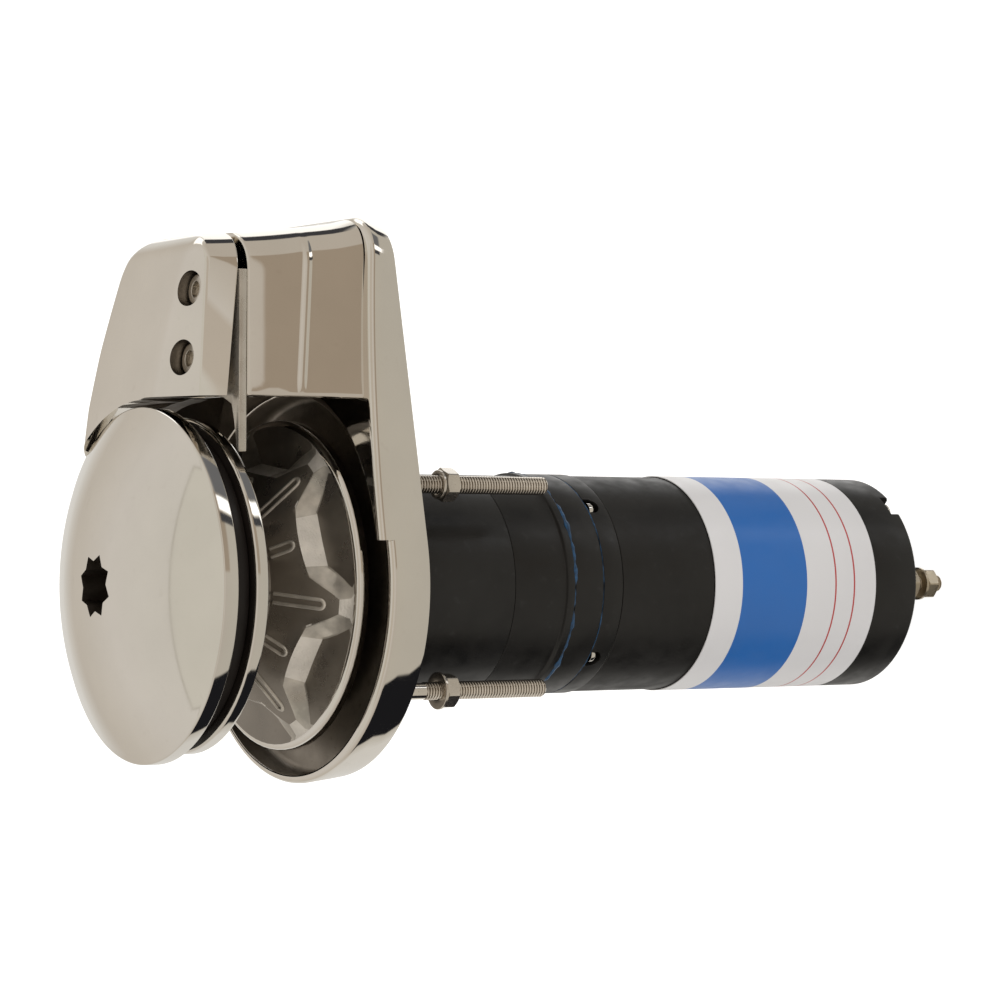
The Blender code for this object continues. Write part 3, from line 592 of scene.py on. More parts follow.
def make_stripper():
    """Finger plate on the housing: wide under the cover, a thin curved prong outside it."""
    def edge_y(x):
        return -side_y(hood_side(wall_top_z(x) + PLATE / 2) - 0.0002, x)

    reach, tip = 0.132, 0.0562
    outline = [(reach, edge_y(reach)), (reach, PLATE_Y - 0.0008), (0.0815, PLATE_Y - 0.0008),
               (0.0795, -0.03), (0.0785, -0.04)]
    for x, wide in ((0.0755, 0.0062), (0.07, 0.0044), (0.064, 0.003), (0.058, 0.002),
                    (0.0565, 0.0014), (0.056, 0.0004)):
        outline.append((x, edge_y(x) + wide))
    outline += [(x, edge_y(x)) for x in [tip + (reach - tip) * i / 14 for i in range(14)]]
    rings = []
    for drop, slip in ((0.0, 0.0004), (0.0001, 0.00012), (0.0004, 0.0), (PLATE - 0.0004, 0.0),
                       (PLATE - 0.0001, 0.00012), (PLATE, 0.0004)):
        rings.append([eased(x, y, wall_top_z(x) + PLATE + 0.0001 - drop, (0.095, -0.04), slip)
                      for x, y in outline])
    skin("stripper_finger", rings, [PLATE_STEEL], "frame", "chain_stripper", 50)


def fold_lines(x):
    """Near side of the cover at x: its fold and crown as (y, z) pairs."""
    table = ((0.045, -0.045, -0.01), (0.092, -0.0408, -0.016), (0.152, -0.0364, -0.027))
    low, high = table[:2] if x < table[1][0] else table[1:]
    t = (x - low[0]) / (high[0] - low[0])
    fold_y = low[1] + (high[1] - low[1]) * t
    crown_y = low[2] + (high[2] - low[2]) * t
    return (fold_y, parting_z(x) + 0.0124), (crown_y, cover_z(x))


def make_cover():
    """Cross-sections from the mouth to the end, each from the near parting edge over the top
    to the far one, with the end closed by shrinking them onto the cover's end wall."""
    def limit_y(x, z):
        """How far out the rounded end corner lets the wall be."""
        corner_x = HOOD_END - END_DRAFT * z - CORNER_R
        if x <= corner_x + CORNER_R * sin(TAPER):
            return side_y(hood_side(z), x)
        over = min(CORNER_R, x - corner_x)
        return (side_y(hood_side(z) - CORNER_R, corner_x)
                + sqrt(max(0.0, CORNER_R ** 2 - over ** 2)))

    sections = []
    straight, last, end_r = 0.118, 0.148, 0.01
    stations = [FAR_X + (straight - FAR_X) * i / 24 for i in range(25)]
    stations += [straight + (last - straight) * sin(QUARTER * i / 22)
                 for i in range(1, 23)]
    for x in stations:
        fold, crown = fold_lines(x)
        over = max(0.0, x - (last - end_r))
        drop = end_r - sqrt(max(0.0, end_r ** 2 - over ** 2))
        top = cover_z(x) - drop
        near_z, far_z = cover_foot_z(x), wall_top_z(x) + 0.0003
        half = limit_y(x, near_z)
        fold_z = min(fold[1] - drop * 0.75, top - 0.0004)
        fold_y = max(fold[0], -limit_y(x, fold_z) + 0.0003)
        crown_y = max(crown[0], fold_y + 0.002)
        far_top = min(side_y(hood_side(top), x), limit_y(x, top))
        crown_y = min(crown_y, far_top - 0.004)
        fold_y = min(fold_y, crown_y - 0.001)
        near_z = min(near_z, fold_z - 0.0004)
        shoulder = (0.005 + 0.006 * unit((0.075 - x) / 0.025)
                    + 0.0055 * unit((x - 0.1) / 0.04))
        step_y = max(PLATE_Y, -half + 0.003)
        corners = [(-half + 0.0012, near_z, 0), (-half, near_z, 0.0009),
                   (fold_y, fold_z, 0.0026), (crown_y, top, 0.045),
                   (far_top, top, shoulder), (limit_y(x, far_z), far_z, 0.0009),
                   (limit_y(x, far_z) - 0.0012, far_z, 0), (step_y + 0.0002, far_z, 0),
                   (step_y, near_z, 0)]
        sections.append([(x, y, z) for y, z in rounded(corners, 7)])
    cover = skin("hood_lid", sections, [POLISHED, WELL_PAINTED_SHADE], "frame", "hood_cover", 50)
    carve(cover, mouth_cutter(), 50)
    for x, y in SCREWS:
        # The counterbores' walls take the darker stainless as painted shade.
        cutter = lathe("counterbore", [(0, 0.03, 0), (0.0075, 0.03, 0), (0.0075, 0.0034, 0),
                                       (0.0043, 0.0034, 0), (0.0043, -0.01, 0), (0, -0.01, 0)],
                       [POLISHED, WELL_PAINTED_SHADE], None, steps=64, slot_of=lambda z: 1)
        cutter.rotation_euler.y = atan(PLANE_TILT)
        cutter.location = (x, y, parting_z(x))
        carve(cover, cutter, sharp=50)


def mouth_cutter():
    turn = acos(FAR_X / MOUTH_R)
    outline = [(-0.02, 0.12), (FAR_X - 0.0001, 0.12), (FAR_X, 0.0615)]
    outline += arc_points((0, 0), MOUTH_R, turn, 0.03, 40)
    outline += [(NEAR_X, -0.004), (NEAR_X, -0.12), (-0.02, -0.12)]
    return prism("mouth", outline, 0.0, 0.13, [POLISHED])


def make_cover_screws():
    tilt = atan(PLANE_TILT)
    for i, (x, y) in enumerate(SCREWS, 1):
        corners = [(0, 0.0094, 0), (0.0032, 0.0094, 0), (0.0034, 0.0116, 0.0002),
                   (0.0065, 0.0116, 0.0009), (0.0065, 0.0036, 0.0003), (0.004, 0.0036, 0),
                   (0.004, -0.0095, 0.0006), (0, -0.0095, 0)]
        screw = lathe(f"cap_screw_{i}", corners, [NUT], "frame", f"cover_screw_{i}", 48)
        hexagon = [polar(0.006 / sqrt(3), radians(60 * k))[:2] for k in range(6)]
        carve(screw, prism("socket", hexagon, 0.008, 0.02, [THREAD]))
        screw.data.transform(Matrix.Translation((x, y, parting_z(x)))
                             @ Matrix.Rotation(tilt, 4, "Y"))


# --- gypsy
def groove_z(radius):
    return 0.047 - CONE_SLOPE * (radius - 0.038)


def pocket_floor_z(radius):
    return RIM_EDGE_Z + 0.19 * (0.0685 - radius)


POCKET_SHAPE = (  # radius, wall top angle, wall foot angle
    (0.0672, 26.4, 22.6), (0.065, 26.8, 21.3), (0.0626, 27.2, 19.7), (0.0595, 25.0, 17.6),
    (0.056, 22.6, 15.1), (0.0527, 20.0, 12.8))


def gypsy_columns():
    """Columns of one pocket from tooth to tooth, as (kind, part, side)."""
    half = [("tooth", p) for p in (0.0, 0.35, 0.7, 0.92)]
    half += [("wall", p) for p in (0.0, 0.12, 0.88, 1.0)]
    half += [("floor", p) for p in (0.08, 0.3, 0.55, 0.8, 1.0)]
    columns = [(kind, part, -1) for kind, part in half]
    columns += [(kind, part, 1) for kind, part in half[-2:0:-1]]
    return columns


def face_row(radius, middle_radius, top, foot, mode):
    """Points of one row of the lower flange's groove side; mode is sunk or cone."""
    row = []
    for pocket in range(6):
        middle = POCKET_AT + radians(60 * pocket)
        for kind, part, side in gypsy_columns():
            if kind == "tooth":
                turn, r = 30 - (30 - top) * part, radius
                z = groove_z(r)
            elif kind == "wall":
                turn, r = top - (top - foot) * part, radius
                if mode == "cone" and middle_radius < radius - 1e-6:
                    r = min(r, middle_radius / cos(radians(turn)))
                z = groove_z(r)
                if mode == "sunk":
                    blend = part * part * (3 - 2 * part)
                    z += (min(z, pocket_floor_z(r)) - z) * blend
            else:
                turn = foot * (1 - part)
                r = radius
                if middle_radius < radius - 1e-6:
                    r = middle_radius / cos(radians(turn))
                z = min(groove_z(r), pocket_floor_z(r)) if mode == "sunk" else groove_z(r)
            row.append((r, max(z, RIM_EDGE_Z), middle + radians(turn * side)))
    return row


def flange_rows():
    def ring(radius, z, top, foot):
        return [(radius, z, a) for _, _, a in face_row(radius, radius, top, foot, "cone")]

    rows = [ring(r, z, 24.8, 21.2) for r, z in ((0.0709, 0.02235), (FLANGE_R, 0.0226),
                                                (FLANGE_R, 0.024), (FLANGE_R, 0.0252))]
    rows += [ring(r, z, 24.6, 21.0) for r, z in ((0.07115, 0.0262), (0.0706, 0.0271),
                                                 (0.0697, 0.0277), (0.0686, 0.0279))]
    for radius, top, foot in POCKET_SHAPE:
        middle = 0.0514 if radius < 0.053 else radius
        rows.append(face_row(radius, middle, top, foot, "sunk"))
    rows.append(face_row(0.0507, CHORD_R, 18.1, 12.8, "cone"))
    for radius in (0.049, 0.046, 0.043, 0.04):
        blend = (radius - 0.04) / 0.0107
        rows.append(face_row(radius, radius - 0.0024 * blend, 18.0, 12.8, "cone"))
    rows.append(ring(0.0354, 0.0487, 18, 12.8))
    return rows


def slot_bead(bm, angle, start_r, end_r, flip, index):
    """Raised U of half-round bead on the cone, open towards the hub."""
    slope = atan(CONE_SLOPE)
    along = Vector((cos(angle), sin(angle), 0))
    across = Vector((-sin(angle), cos(angle), 0))
    half, bead = 0.0019, 0.00085
    leg = [start_r + (end_r - start_r) * i / 8 for i in range(9)]
    path = [(u, -half) for u in leg]
    path += arc_points((end_r, 0), half, -QUARTER, QUARTER, 8)[1:-1]
    path += [(u, half) for u in leg[::-1]]
    rings = []
    for k, (u, v) in enumerate(path):
        before, after = path[max(0, k - 1)], path[min(len(path) - 1, k + 1)]
        head = Vector((after[0] - before[0], after[1] - before[1])).normalized()
        normal = Vector((head.y, -head.x))
        ring = []
        for step in range(7):
            turn = pi * step / 6
            side, up = bead * cos(turn), bead * sin(turn) - 0.0002
            pu, pv = u + normal.x * side, v + normal.y * side
            point = along * pu + across * pv
            z = groove_z(pu) + up * cos(slope)
            point += along * up * sin(slope)
            ring.append((point.x, point.y, MIRROR_Z - z if flip else z))
        rings.append(ring)
    before = set(bm.faces)
    cap_ends(bm, grid(bm, rings, closed_rows=False))
    for face in set(bm.faces) - before:
        face.material_index = index


def make_gypsy():
    lower = flange_rows()
    upper = [[(r, MIRROR_Z - z, a) for r, z, a in row] for row in lower]
    outside = [(0.0712, 0.0749), (0.0709, 0.0753), (0.0702, 0.0756), (0.0582, 0.0756),
               (0.0492, 0.0646), (0.0129, 0.0646), (0.0129, 0.0346), (0.0424, 0.0346),
               (0.0492, 0.0224)]
    angles = [a for _, _, a in lower[0]]
    even = [POCKET_AT + radians(-30 + 360 * i / len(angles)) for i in range(len(angles))]
    rim = [(FLANGE_R, z) for z in (0.0744, 0.0733, 0.072, 0.071, 0.0703)]
    rim += [(0.0711, 0.0699), (0.0703, 0.0697), (0.069, 0.0698)]
    for k, (r, z) in enumerate(rim):
        upper[k] = [(r, z, a) for a in angles]
    rows = lower + upper[::-1]
    for r, z in outside:
        rows.append([(r, z, b if r < 0.06 else a) for a, b in zip(angles, even)])
    # Slot 0 is a dark copy of the casting that paints shade on the groove, slot 3 paints the
    # shaded face under the cap black, slot 4 is a darker copy that paints shade on the pocket
    # walls and beads; slot 1 is the rim's polish and slot 2 the blasted finish.
    groove_shade_slot, polished, blasted, dark, side_painted_shade = 0, 1, 2, 3, 4
    kinds = [kind for kind, _, _ in gypsy_columns()]
    rim_rows, count = 7, len(lower)
    last = rim_rows + len(POCKET_SHAPE)
    bm = bmesh.new()

    def slot_of(k, i):
        low_k = k if k < count else 2 * count - 2 - k
        pair = kinds[i % len(kinds)], kinds[(i + 1) % len(kinds)]
        # The gypsy's top face under the cap is painted black: painted shade in the gap.
        if k == 2 * count + 2:
            return dark
        if low_k < rim_rows:
            return polished
        if k == count - 1 or low_k > last:
            return groove_shade_slot
        # Pocket side walls take the darker copy as painted shade.
        if pair == ("wall", "wall"):
            return side_painted_shade
        if low_k == last and pair[0] != "tooth" or low_k < rim_rows + 3 and "tooth" in pair:
            return blasted
        return groove_shade_slot

    grid(bm, [[polar(r, a, z) for r, z, a in row] for row in rows], slot_of=slot_of)
    # The beads take the darker side copy as painted shade.
    for flip in (False, True):
        for i in range(12):
            slot_bead(bm, POCKET_AT + radians(30 * i), 0.0365,
                      0.0548 if i % 2 else 0.044, flip, side_painted_shade)
    make("gypsy_wheel", bm, [GROOVE_PAINTED_SHADE, BRIGHT, BLASTED, RING_BLACK_AND_GAP_SHADE, SIDE_PAINTED_SHADE], "gypsy", "gypsy",
         sharp=28)


# --- clutch cap
def make_cap():
    rise = CAP_APEX - CAP_EDGE_Z
    dome_r = (CAP_R ** 2 + rise ** 2) / (2 * rise)
    corners = []
    for i in range(33):
        radius = 0.074 * i / 32
        z = CAP_APEX - dome_r + sqrt(dome_r ** 2 - radius ** 2)
        corners.append((radius, z, 0))
    edge = corners[-1][1]
    corners += [(0.0752, 0.0922, 0.0016), (0.0752, 0.0857, 0.0006), (0.067, 0.0845, 0),
                (0.0526, 0.0843, 0), (0.0526, 0.0769, 0), (0.0436, 0.0668, 0),
                (0.0103, 0.0668, 0), (0.0103, 0.0962, 0), (0, 0.0962, 0)]
    # Slot 2 paints shade in the star recess and the pit.
    looks = [CAP_POLISH, BRIGHT, HOLLOW_PAINTED_SHADE]
    cap = lathe("cap_dome", corners, looks, "clutch_cap",
                "clutch_cap", 160, sharp=25,
                slot_of=lambda z: 0 if z > edge - 0.00001 else 1)
    fillet, valley = 0.0003, STAR_R * cos(pi / 4) / cos(pi / 8)
    points = [polar(valley if i % 2 else STAR_R, pi * i / 8 + radians(27.6), fillet)
              for i in range(16)]
    carve(cap, prism("star", rounded(points, 3, True), STAR_FLOOR, 0.12, looks, 2), 25)
    pit = lathe("pit", [(0, 0.11, 0), (0.0072, 0.11, 0), (0.0072, 0.0972, 0.0004),
                        (0, 0.0972, 0)], looks, None, steps=48, slot_of=lambda z: 2)
    carve(cap, pit, sharp=25)
    # The black lining fills the gap under the cap; its black also paints that gap's shade.
    lathe("clutch_ring_band", [(0.067, 0.0838, 0.0004), (0.067, 0.0763, 0.0004),
                               (0.0578, 0.0763, 0), (0.0488, 0.0652, 0), (0.0442, 0.0652, 0),
                               (0.0531, 0.0764, 0), (0.0531, 0.0838, 0), (0.06, 0.0838, 0)],
          [RING_BLACK_AND_GAP_SHADE], "clutch_ring", "clutch_lining", 128)


# --- fasteners
def thread(name, radius, pitch, top, bottom, at, looks, node_name, plain=0.0):
    """Screw thread as one helical skin with a chamfered tip, painted shade in its roots, and a
    plain neck if asked.
    """
    turn_steps, rows_per = 28, 8
    depth = 0.66 * pitch
    rows, shaded_roots = [], []
    heights = []
    z = bottom
    while z < top - 1e-9:
        heights.append(z)
        z += pitch / rows_per
    heights.append(top)
    for z in heights:
        row, shaded_root = [], []
        for i in range(turn_steps):
            phase = (z / pitch - i / turn_steps) % 1.0
            groove = max(0.0, 1 - abs(phase - 0.5) / 0.4)
            r = radius - depth * groove * 0.85
            # Faces deep in the groove are marked for painted shade.
            shaded_root.append(groove > 0.45 and z <= top - plain)
            if z > top - plain:
                r = radius - depth * 0.45
            r = min(r, radius - max(0.0, 0.0012 - (z - bottom)))
            a = 2 * pi * i / turn_steps
            row.append(polar(r, a, z, at))
        rows.append(row)
        shaded_roots.append(shaded_root)
    skin(name, rows, looks, "frame", node_name, 60,
         slot_of=lambda k, i: 1 if shaded_roots[k][i] else 0)


def nut(name, low, high, at, looks, node_name="", turn=0.0):
    """Hexagon nut with the corners turned off at both faces."""
    steps = 72
    inner, apothem = NUT_AF / 2 * 0.95, NUT_AF / 2
    slope = tan(radians(30))
    mouth = NUT_BORE + 0.0008
    rows = [[] for _ in range(8)]
    for i in range(steps):
        a = (i + 0.5) / steps * 2 * pi
        outer = apothem / cos(a % (pi / 3) - pi / 6)
        turned_off = (outer - inner) * slope
        ring = ((NUT_BORE, low + 0.0008), (mouth, low), (inner, low), (outer, low + turned_off),
                (outer, high - turned_off), (inner, high), (mouth, high),
                (NUT_BORE, high - 0.0008))
        for row, (r, z) in zip(rows, ring):
            row.append(polar(r, a + turn, z, at))
    skin(name, rows, looks, "frame", node_name, 24, capped=False)


def washer(name, inner, outer, low, high, at, looks, node_name):
    """Ring with its outer edges eased."""
    lathe(name, [(inner, low, 0), (inner, high, 0.0002), (outer, high, 0.0003),
                 (outer, low, 0.0003)], looks, "frame", node_name, 48, at)


def make_studs():
    for i, (x, y) in enumerate(STUDS, 1):
        at = (x, y, 0)
        neck, lift, wide, turn = ((0.0105, 0.0008, 0.0062, 0.12) if x > 0
                                  else (0.02, 0.0, 0.008, 0.3))
        thread(f"deck_stud_{i}", 0.0039, THREAD_PITCH, 0.0065, -0.0749, at, [THREAD, ROOT_PAINTED_SHADE],
               f"mount_stud_{i}", neck)
        nut(f"deck_nut_{i}", -0.0282 + lift, -0.0217 + lift, at, [NUT], f"mount_nut_{i}",
            turn)
        washer(f"deck_washer_{i}", WASHER_BORE, wide, -0.0214 + lift, -0.0202 + lift, at,
               [NUT], f"mount_washer_{i}")


def pan_screw(name, at, head_r, head_z, shank_r, shank_end, node_name, tall):
    """Pan-head screw pointing up, its head at the bottom with a cross recess."""
    bulge = head_r * tall
    corners = [(0, shank_end, 0), (shank_r, shank_end, 0.0003), (shank_r, head_z, 0),
               (head_r, head_z, 0.0001), (head_r, head_z - bulge * 0.45, head_r * 0.5),
               (head_r * 0.6, head_z - bulge, head_r * 0.5), (0, head_z - bulge, 0)]
    screw = lathe(name, corners, [BRIGHT], "frame", node_name, 40, at,
                  arc_steps=6)
    wide, arm, low = head_r * 0.12, head_r * 0.55, head_z - bulge - 0.001
    for turn in (0.4, 0.4 + QUARTER):
        carve(screw, block("cross", (-arm, -wide, low), (arm, wide, head_z - bulge * 0.45),
                           turn, at, wide * 0.8))


# --- gearbox and motor
def casing(name, corners, node_name):
    """Black turned section of the gearbox or motor."""
    return lathe(name, corners, [BLACK_TURNED], "frame", node_name, 144)


def make_gearbox():
    casing("gearbox_tube", [(0.0262, 0.001, 0), (0.049, 0.001, 0.0004),
                            (0.049, -0.0656, 0.0002), (0.041, -0.0656, 0),
                            (0.0405, -0.028, 0), (0.0263, -0.028, 0)], "gearbox_nose")
    casing("gear_ring_case", [(0.0408, -0.0658, 0), (0.049, -0.0658, 0.0002),
                              (0.049, -0.0922, 0.0006), (0.0503, -0.093, 0.0006),
                              (0.0503, -0.0967, 0.0006), (0.0408, -0.0967, 0)],
           "ring_gear_housing")
    casing("gearbox_adapter_ring", [(0.016, -0.0971, 0), (0.05, -0.0971, 0.0005),
                                    (0.05, -0.1121, 0.0005), (0.016, -0.1121, 0)],
           "gearbox_adapter")
    front = casing("motor_front_ring", [(0.0143, -0.1125, 0), (0.05, -0.1125, 0.0004),
                                        (0.05, -0.1226, 0.0004), (0.0143, -0.1226, 0)],
                   "motor_front_plate")
    half, top = 0.0042, -0.11
    outline = [(-half, top)] + arc_points((0, half - 0.119), half, pi, 2 * pi, 10)
    outline += [(half, top)]
    for i, angle in enumerate(SCREW_ANGLES, 1):
        spin = Matrix.Rotation(angle, 4, "Z")
        carve(front, skin("pocket", [[spin @ Vector((r, t, z)) for t, z in outline]
                                     for r in (0.042, 0.06)], [BLACK_TURNED]))
        pan_screw(f"flange_pan_{i}", polar(SCREW_AT + 0.0008, angle), 0.0039, -0.1137, 0.0016,
                  -0.1123, f"flange_screw_{i}", 1.05)
    sealant_bead("seam_bead_1", -0.097, 0.04975, 0.00085)
    sealant_bead("seam_bead_2", -0.1123, 0.04976, 0.0002)


def sealant_bead(name, z, radius, bead):
    """Squeezed-out thread sealant: a thin bead that swells and thins round the seam."""
    rows = []
    for i in range(360):
        a = 2 * pi * i / 360
        swell = bead * (0.7 + 0.3 * sin(5 * a + z * 900) + 0.3 * sin(13 * a + 1.3)
                        + 0.25 * sin(29 * a) + 0.15 * sin(61 * a))
        wander = 0.00012 * sin(7 * a) + 0.00006 * sin(17 * a)
        row = []
        for k in range(8):
            turn = 2 * pi * k / 8
            r = radius + max(0.0001, swell) * cos(turn)
            row.append(polar(r, a, z + wander + swell * 1.3 * sin(turn)))
        rows.append(row)
    skin(name, rows, [SEALANT], "frame", capped=False)


BANDS = (  # top of each printed band: 0 white, 1 blue, 2 red rule, 3 edge
    (-0.1744, 3), (-0.1747, 0), (-0.19, 1), (-0.2278, 0), (-0.2446, 2), (-0.2455, 0),
    (-0.2558, 2), (-0.2567, 0), (-0.2691, 3))


def make_motor():
    lathe("motor_can", [(0.0455, -0.1232, 0), (CASE_R, -0.1232, 0.0005),
                        (CASE_R, -0.2692, 0.0003), (0.0455, -0.2692, 0)],
          [BLACK], "frame", "motor_case", 144)
    inside, end = 0.0497, -0.2694
    rows = [(inside, BANDS[0][0])] + [(LABEL_R, z) for z, _ in BANDS]
    rows += [(LABEL_R, end), (inside, end)]
    turns = [2 * pi * i / 192 for i in range(192)]
    kinds = [0] + [kind for _, kind in BANDS] + [3, 0]
    skin("motor_film", [[polar(r, a, z) for a in turns] for r, z in rows],
         [FILM, FILM_BLUE, FILM_RED, FILM_EDGE], "frame", "motor_label",
         slot_of=lambda k, i: kinds[k], capped=False)
    cap = casing("end_cap_turned", [(0, -0.2862, 0), (0.044, -0.2862, 0), (0.044, -0.2697, 0),
                                    (0.05, -0.2697, 0.0004), (0.05, -0.2945, 0.0022),
                                    (0.048, -0.2956, 0.001), (0, -0.2956, 0)],
                 "motor_end_cap")
    for i, angle in enumerate(BOLT_ANGLES, 1):
        at = polar(BOLT_AT, angle)
        carve(cap, block("notch", (-0.006, -0.006, -0.3), (0.014, 0.006, -0.2895), angle,
                         at, 0.0006))
        pan_screw(f"tie_bolt_pan_{i}", at, 0.005, -0.2897, 0.0025, -0.272,
                  f"tie_bolt_{i}", 0.75)
    for i, side in enumerate((-1, 1), 1):
        at = (0, side * TERMINAL_AT, 0)
        thread(f"terminal_thread_{i}", 0.004, TERMINAL_PITCH, -0.2762, -0.3213, at,
               [TERMINAL, ROOT_PAINTED_SHADE], f"terminal_stud_{i}")
        nut(f"terminal_jam_nut_{i}", -0.3045, -0.298, at, [TERMINAL], "", 0.6)
        nut(f"terminal_lug_nut_{i}", -0.316, -0.3095, at, [TERMINAL],
            f"terminal_nut_{i}", 0.52)
        washer(f"terminal_washer_{i}", WASHER_BORE, 0.0078, -0.3076, -0.3092, at, [TERMINAL],
               "")
        lathe(f"terminal_bush_{i}", [(WASHER_BORE, -0.2957, 0), (WASHER_BORE, -0.2979, 0.0002),
                                     (0.0085, -0.2979, 0.0004), (0.0085, -0.2957, 0)],
              [RING_BLACK_AND_GAP_SHADE], "frame", "", 48, at)


# --- carried-over CAD nodes
def dress_nodes():
    """Looks for the hidden pieces that keep their CAD shapes."""
    groups = (
        (finish("seal_rubber", (0.018, 0.018, 0.019), 0, (0.55, 0.7), 0.15, grain=(900, 3e-5)),
         "deck_seal shaft_seal"),
        (finish("bearing_steel", (0.66, 0.66, 0.67), 1, (0.12, 0.22), 0.04, grain=(900, 3e-6)),
         "output_bearing front_bearing rear_bearing"),
        (finish("oiled_gear_steel", (0.4, 0.4, 0.41), 1, (0.22, 0.36), 0.08, grain=(1500, 1e-5),
                stain=((0.12, 0.09, 0.05), 0.4)),
         "main_shaft shaft_key output_carrier input_carrier planet_low_1 planet_low_2 "
         "planet_low_3 planet_high_1 planet_high_2 planet_high_3"),
        (finish("varnished_core", (0.2, 0.14, 0.1), 0.4, (0.3, 0.5), 0.2, grain=(600, 5e-5)),
         "armature"),
        (finish("copper_segments", (0.74, 0.43, 0.28), 1, (0.2, 0.34), 0.12, grain=(900, 1e-5)),
         "commutator"),
        (finish("ferrite", (0.07, 0.07, 0.075), 0, (0.5, 0.7), 0.2, grain=(900, 4e-5)),
         "field_magnet_1 field_magnet_2"),
        (finish("phenolic_board", (0.3, 0.16, 0.07), 0, (0.45, 0.6), 0.15, grain=(900, 2e-5)),
         "brush_plate"),
        (finish("carbon", (0.03, 0.03, 0.03), 0, (0.5, 0.7), 0.2, grain=(900, 3e-5)),
         "carbon_brush_1 carbon_brush_2"),
        (BLASTED, "lower_clutch_cone"))
    for look, names in groups:
        for name in names.split():
            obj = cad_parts[name]
            obj.data.materials.clear()
            obj.data.materials.append(look)


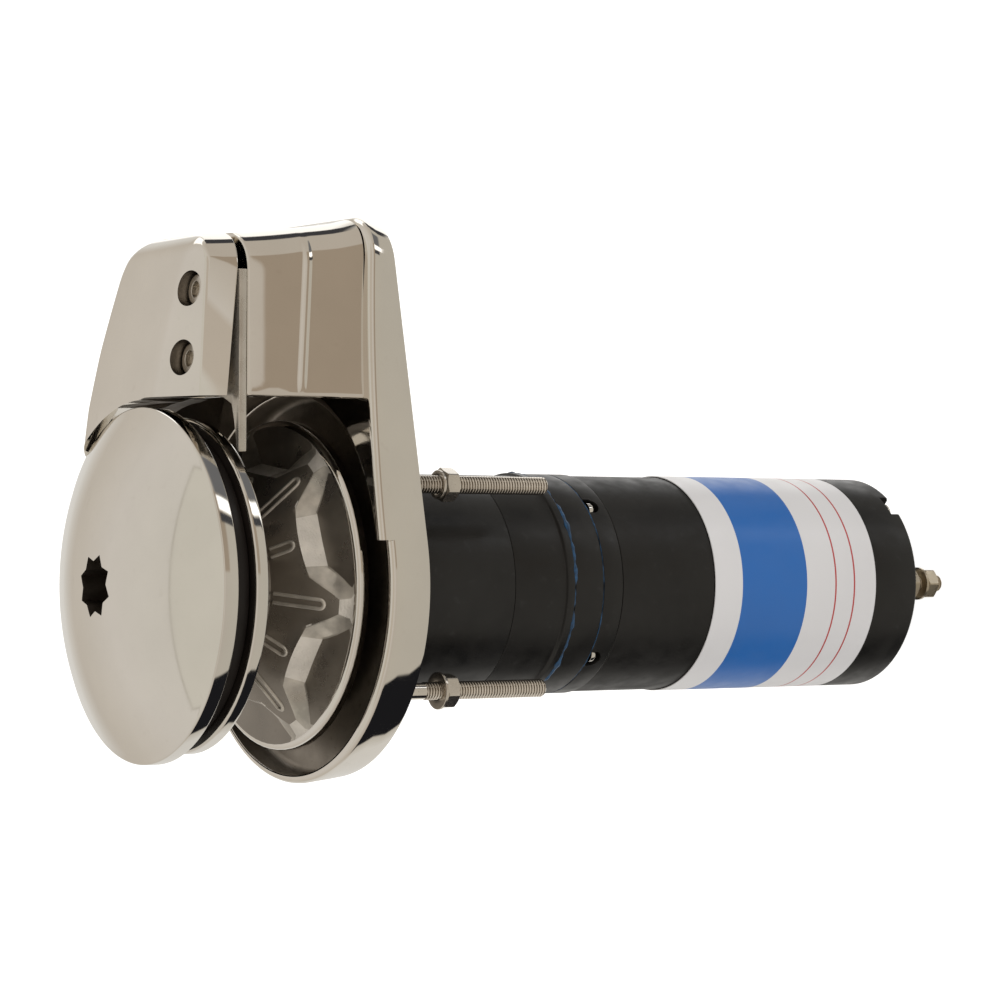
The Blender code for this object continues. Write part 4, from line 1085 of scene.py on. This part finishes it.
# --- studio
def make_world():
    """A pale tent: graded grey-beige walls with a few lit and unlit panels."""
    world = bpy.data.worlds.new("studio")
    bpy.context.scene.world = world
    world.use_nodes = True
    tree = world.node_tree
    tree.nodes.clear()
    split = node(tree, "ShaderNodeSeparateXYZ",
                 {0: node(tree, "ShaderNodeTexCoord").outputs["Generated"]})
    east, north, up = (split.outputs[axis] for axis in "XYZ")
    elevation = math_node(tree, "DEGREES", math_node(tree, "ARCSINE", up))
    azimuth = math_node(tree, "DEGREES", math_node(tree, "ARCTAN2", north, east))
    ramp = node(tree, "ShaderNodeValToRGB", {0: remap(tree, elevation, -90, 90, 0, 1)})
    stops = ((0.0, (0.5, 0.475, 0.43)), (0.31, (0.53, 0.495, 0.43)),
             (0.45, (0.52, 0.47, 0.41)), (0.58, (0.6, 0.555, 0.495)),
             (0.7, (0.666, 0.63, 0.585)), (0.82, (0.66, 0.63, 0.58)),
             (1.0, (0.645, 0.61, 0.555)))
    while len(ramp.color_ramp.elements) < len(stops):
        ramp.color_ramp.elements.new(0.5)
    for stop, (place, colour) in zip(ramp.color_ramp.elements, stops):
        stop.position = place
        stop.color = (*colour, 1)
    colour = ramp.outputs["Color"]
    panels = (                   # azimuth, elevation, half sizes, softness, colour
        (90, -30, 62, 22, 14, (0.72, 0.7, 0.66)),
        (-90, 46, 75, 15, 5, (0.545, 0.487, 0.418)),
        (-54, -15, 25, 11, 2.0, (0.376, 0.311, 0.241)),
        (52, -32, 20, 12, 6, (1.3, 1.28, 1.25)),
        (-172, -40, 23, 22, 2.0, (0.012, 0.012, 0.014)),
        (-14, -33, 13, 9, 4.0, (0.16, 0.16, 0.165)),
        (-35, -36, 4.0, 12, 2.0, (1.7, 1.7, 1.7)),
        (-45, -33, 2.5, 10, 1.5, (0.06, 0.06, 0.065)),
        (22, -30, 7, 16, 2.5, (0.05, 0.05, 0.055)),
        (40, 4, 9, 14, 3.0, (1.5, 1.48, 1.44)))
    for turn, rise, wide, tall, soft, paint in panels:
        across = math_node(tree, "WRAP", math_node(tree, "SUBTRACT", azimuth, turn), 180, -180)
        masks = []
        for away, half in ((across, wide), (math_node(tree, "SUBTRACT", elevation, rise), tall)):
            size = math_node(tree, "ABSOLUTE", away)
            masks.append(remap(tree, size, half, half + soft, 1, 0))
        colour = mixed(tree, math_node(tree, "MULTIPLY", *masks), colour, paint)
    high = remap(tree, elevation, 28, 34, 0, 1)
    roof = math_node(tree, "MULTIPLY", remap(tree, north, 0.357, 0.362, 1, 0), high)
    front = mixed(tree, remap(tree, north, -0.3, -0.05, 0, 1), colour, (0.64, 0.612, 0.548))
    colour = mixed(tree, roof, colour, front)
    seam = math_node(tree, "COMPARE", north, 0.364, 0.007)
    colour = mixed(tree, math_node(tree, "MULTIPLY", seam, high), colour, (0.5, 0.47, 0.42))
    light = node(tree, "ShaderNodeBackground", {"Color": colour})
    seen = node(tree, "ShaderNodeBackground", {"Color": (1, 1, 1)})
    rays = node(tree, "ShaderNodeLightPath").outputs["Is Camera Ray"]
    both = node(tree, "ShaderNodeMixShader", {0: rays, 1: light.outputs[0],
                                              2: seen.outputs[0]})
    node(tree, "ShaderNodeOutputWorld", {"Surface": both.outputs[0]})


def make_floor():
    bm = bmesh.new()
    bm.faces.new([bm.verts.new((x, y, FLOOR_Z))
                  for x, y in ((-20, -20), (20, -20), (20, 20), (-20, 20))])
    look = bpy.data.materials.new("paper_floor")
    look.use_nodes = True
    feed(look.node_tree.nodes["Principled BSDF"],
         {"Base Color": (0.45, 0.45, 0.45), "Roughness": 1.0, "Specular IOR Level": 0.0,
          "Emission Color": (1, 1, 1), "Emission Strength": 0.9})
    floor = make("floor", bm, [look], None)
    floor.visible_glossy = False


def area_light(name, place, size, watts):
    """Soft lamp aimed at the windlass, left out of its reflections."""
    light = bpy.data.lights.new(name, "AREA")
    light.shape = "RECTANGLE"
    light.size, light.size_y = size
    light.energy = watts
    light.color = (1, 0.97, 0.93)
    lamp = new_object(name, light)
    lamp.location = place
    aim = Vector((0.03, 0, 0)) - Vector(place)
    lamp.rotation_mode = "QUATERNION"
    lamp.rotation_quaternion = aim.to_track_quat("-Z", "Y")
    lamp.visible_glossy = False


def make_camera():
    camera = bpy.data.cameras.new("camera")
    camera.sensor_width = 36
    camera.lens = 112.01
    holder = new_object("camera", camera)
    right = Vector((0.0087, -0.5537, -0.8327)).normalized()
    back = Vector((-0.0058, -0.8327, 0.5536)).normalized()
    up = back.cross(right).normalized()
    turn = Matrix((right, up, back)).transposed().to_4x4()
    holder.matrix_world = Matrix.Translation((0.02977, -1.17229, 0.68981)) @ turn
    bpy.context.scene.camera = holder


def make_studio():
    make_world()
    make_floor()
    area_light("key", (1.1, -0.7, 1.1), (0.7, 0.7), 9)
    area_light("fill", (-0.6, -1.0, 0.7), (1.0, 1.0), 4)
    area_light("back", (0.3, 1.3, 0.5), (1.2, 0.6), 6)
    make_camera()
    bpy.context.scene.view_settings.view_transform = "Standard"


# --- assembly
for build in (make_studio, make_base, make_housing, make_stripper, make_cover,
              make_cover_screws, make_gypsy, make_cap, make_studs, make_gearbox, make_motor,
              dress_nodes):
    build()
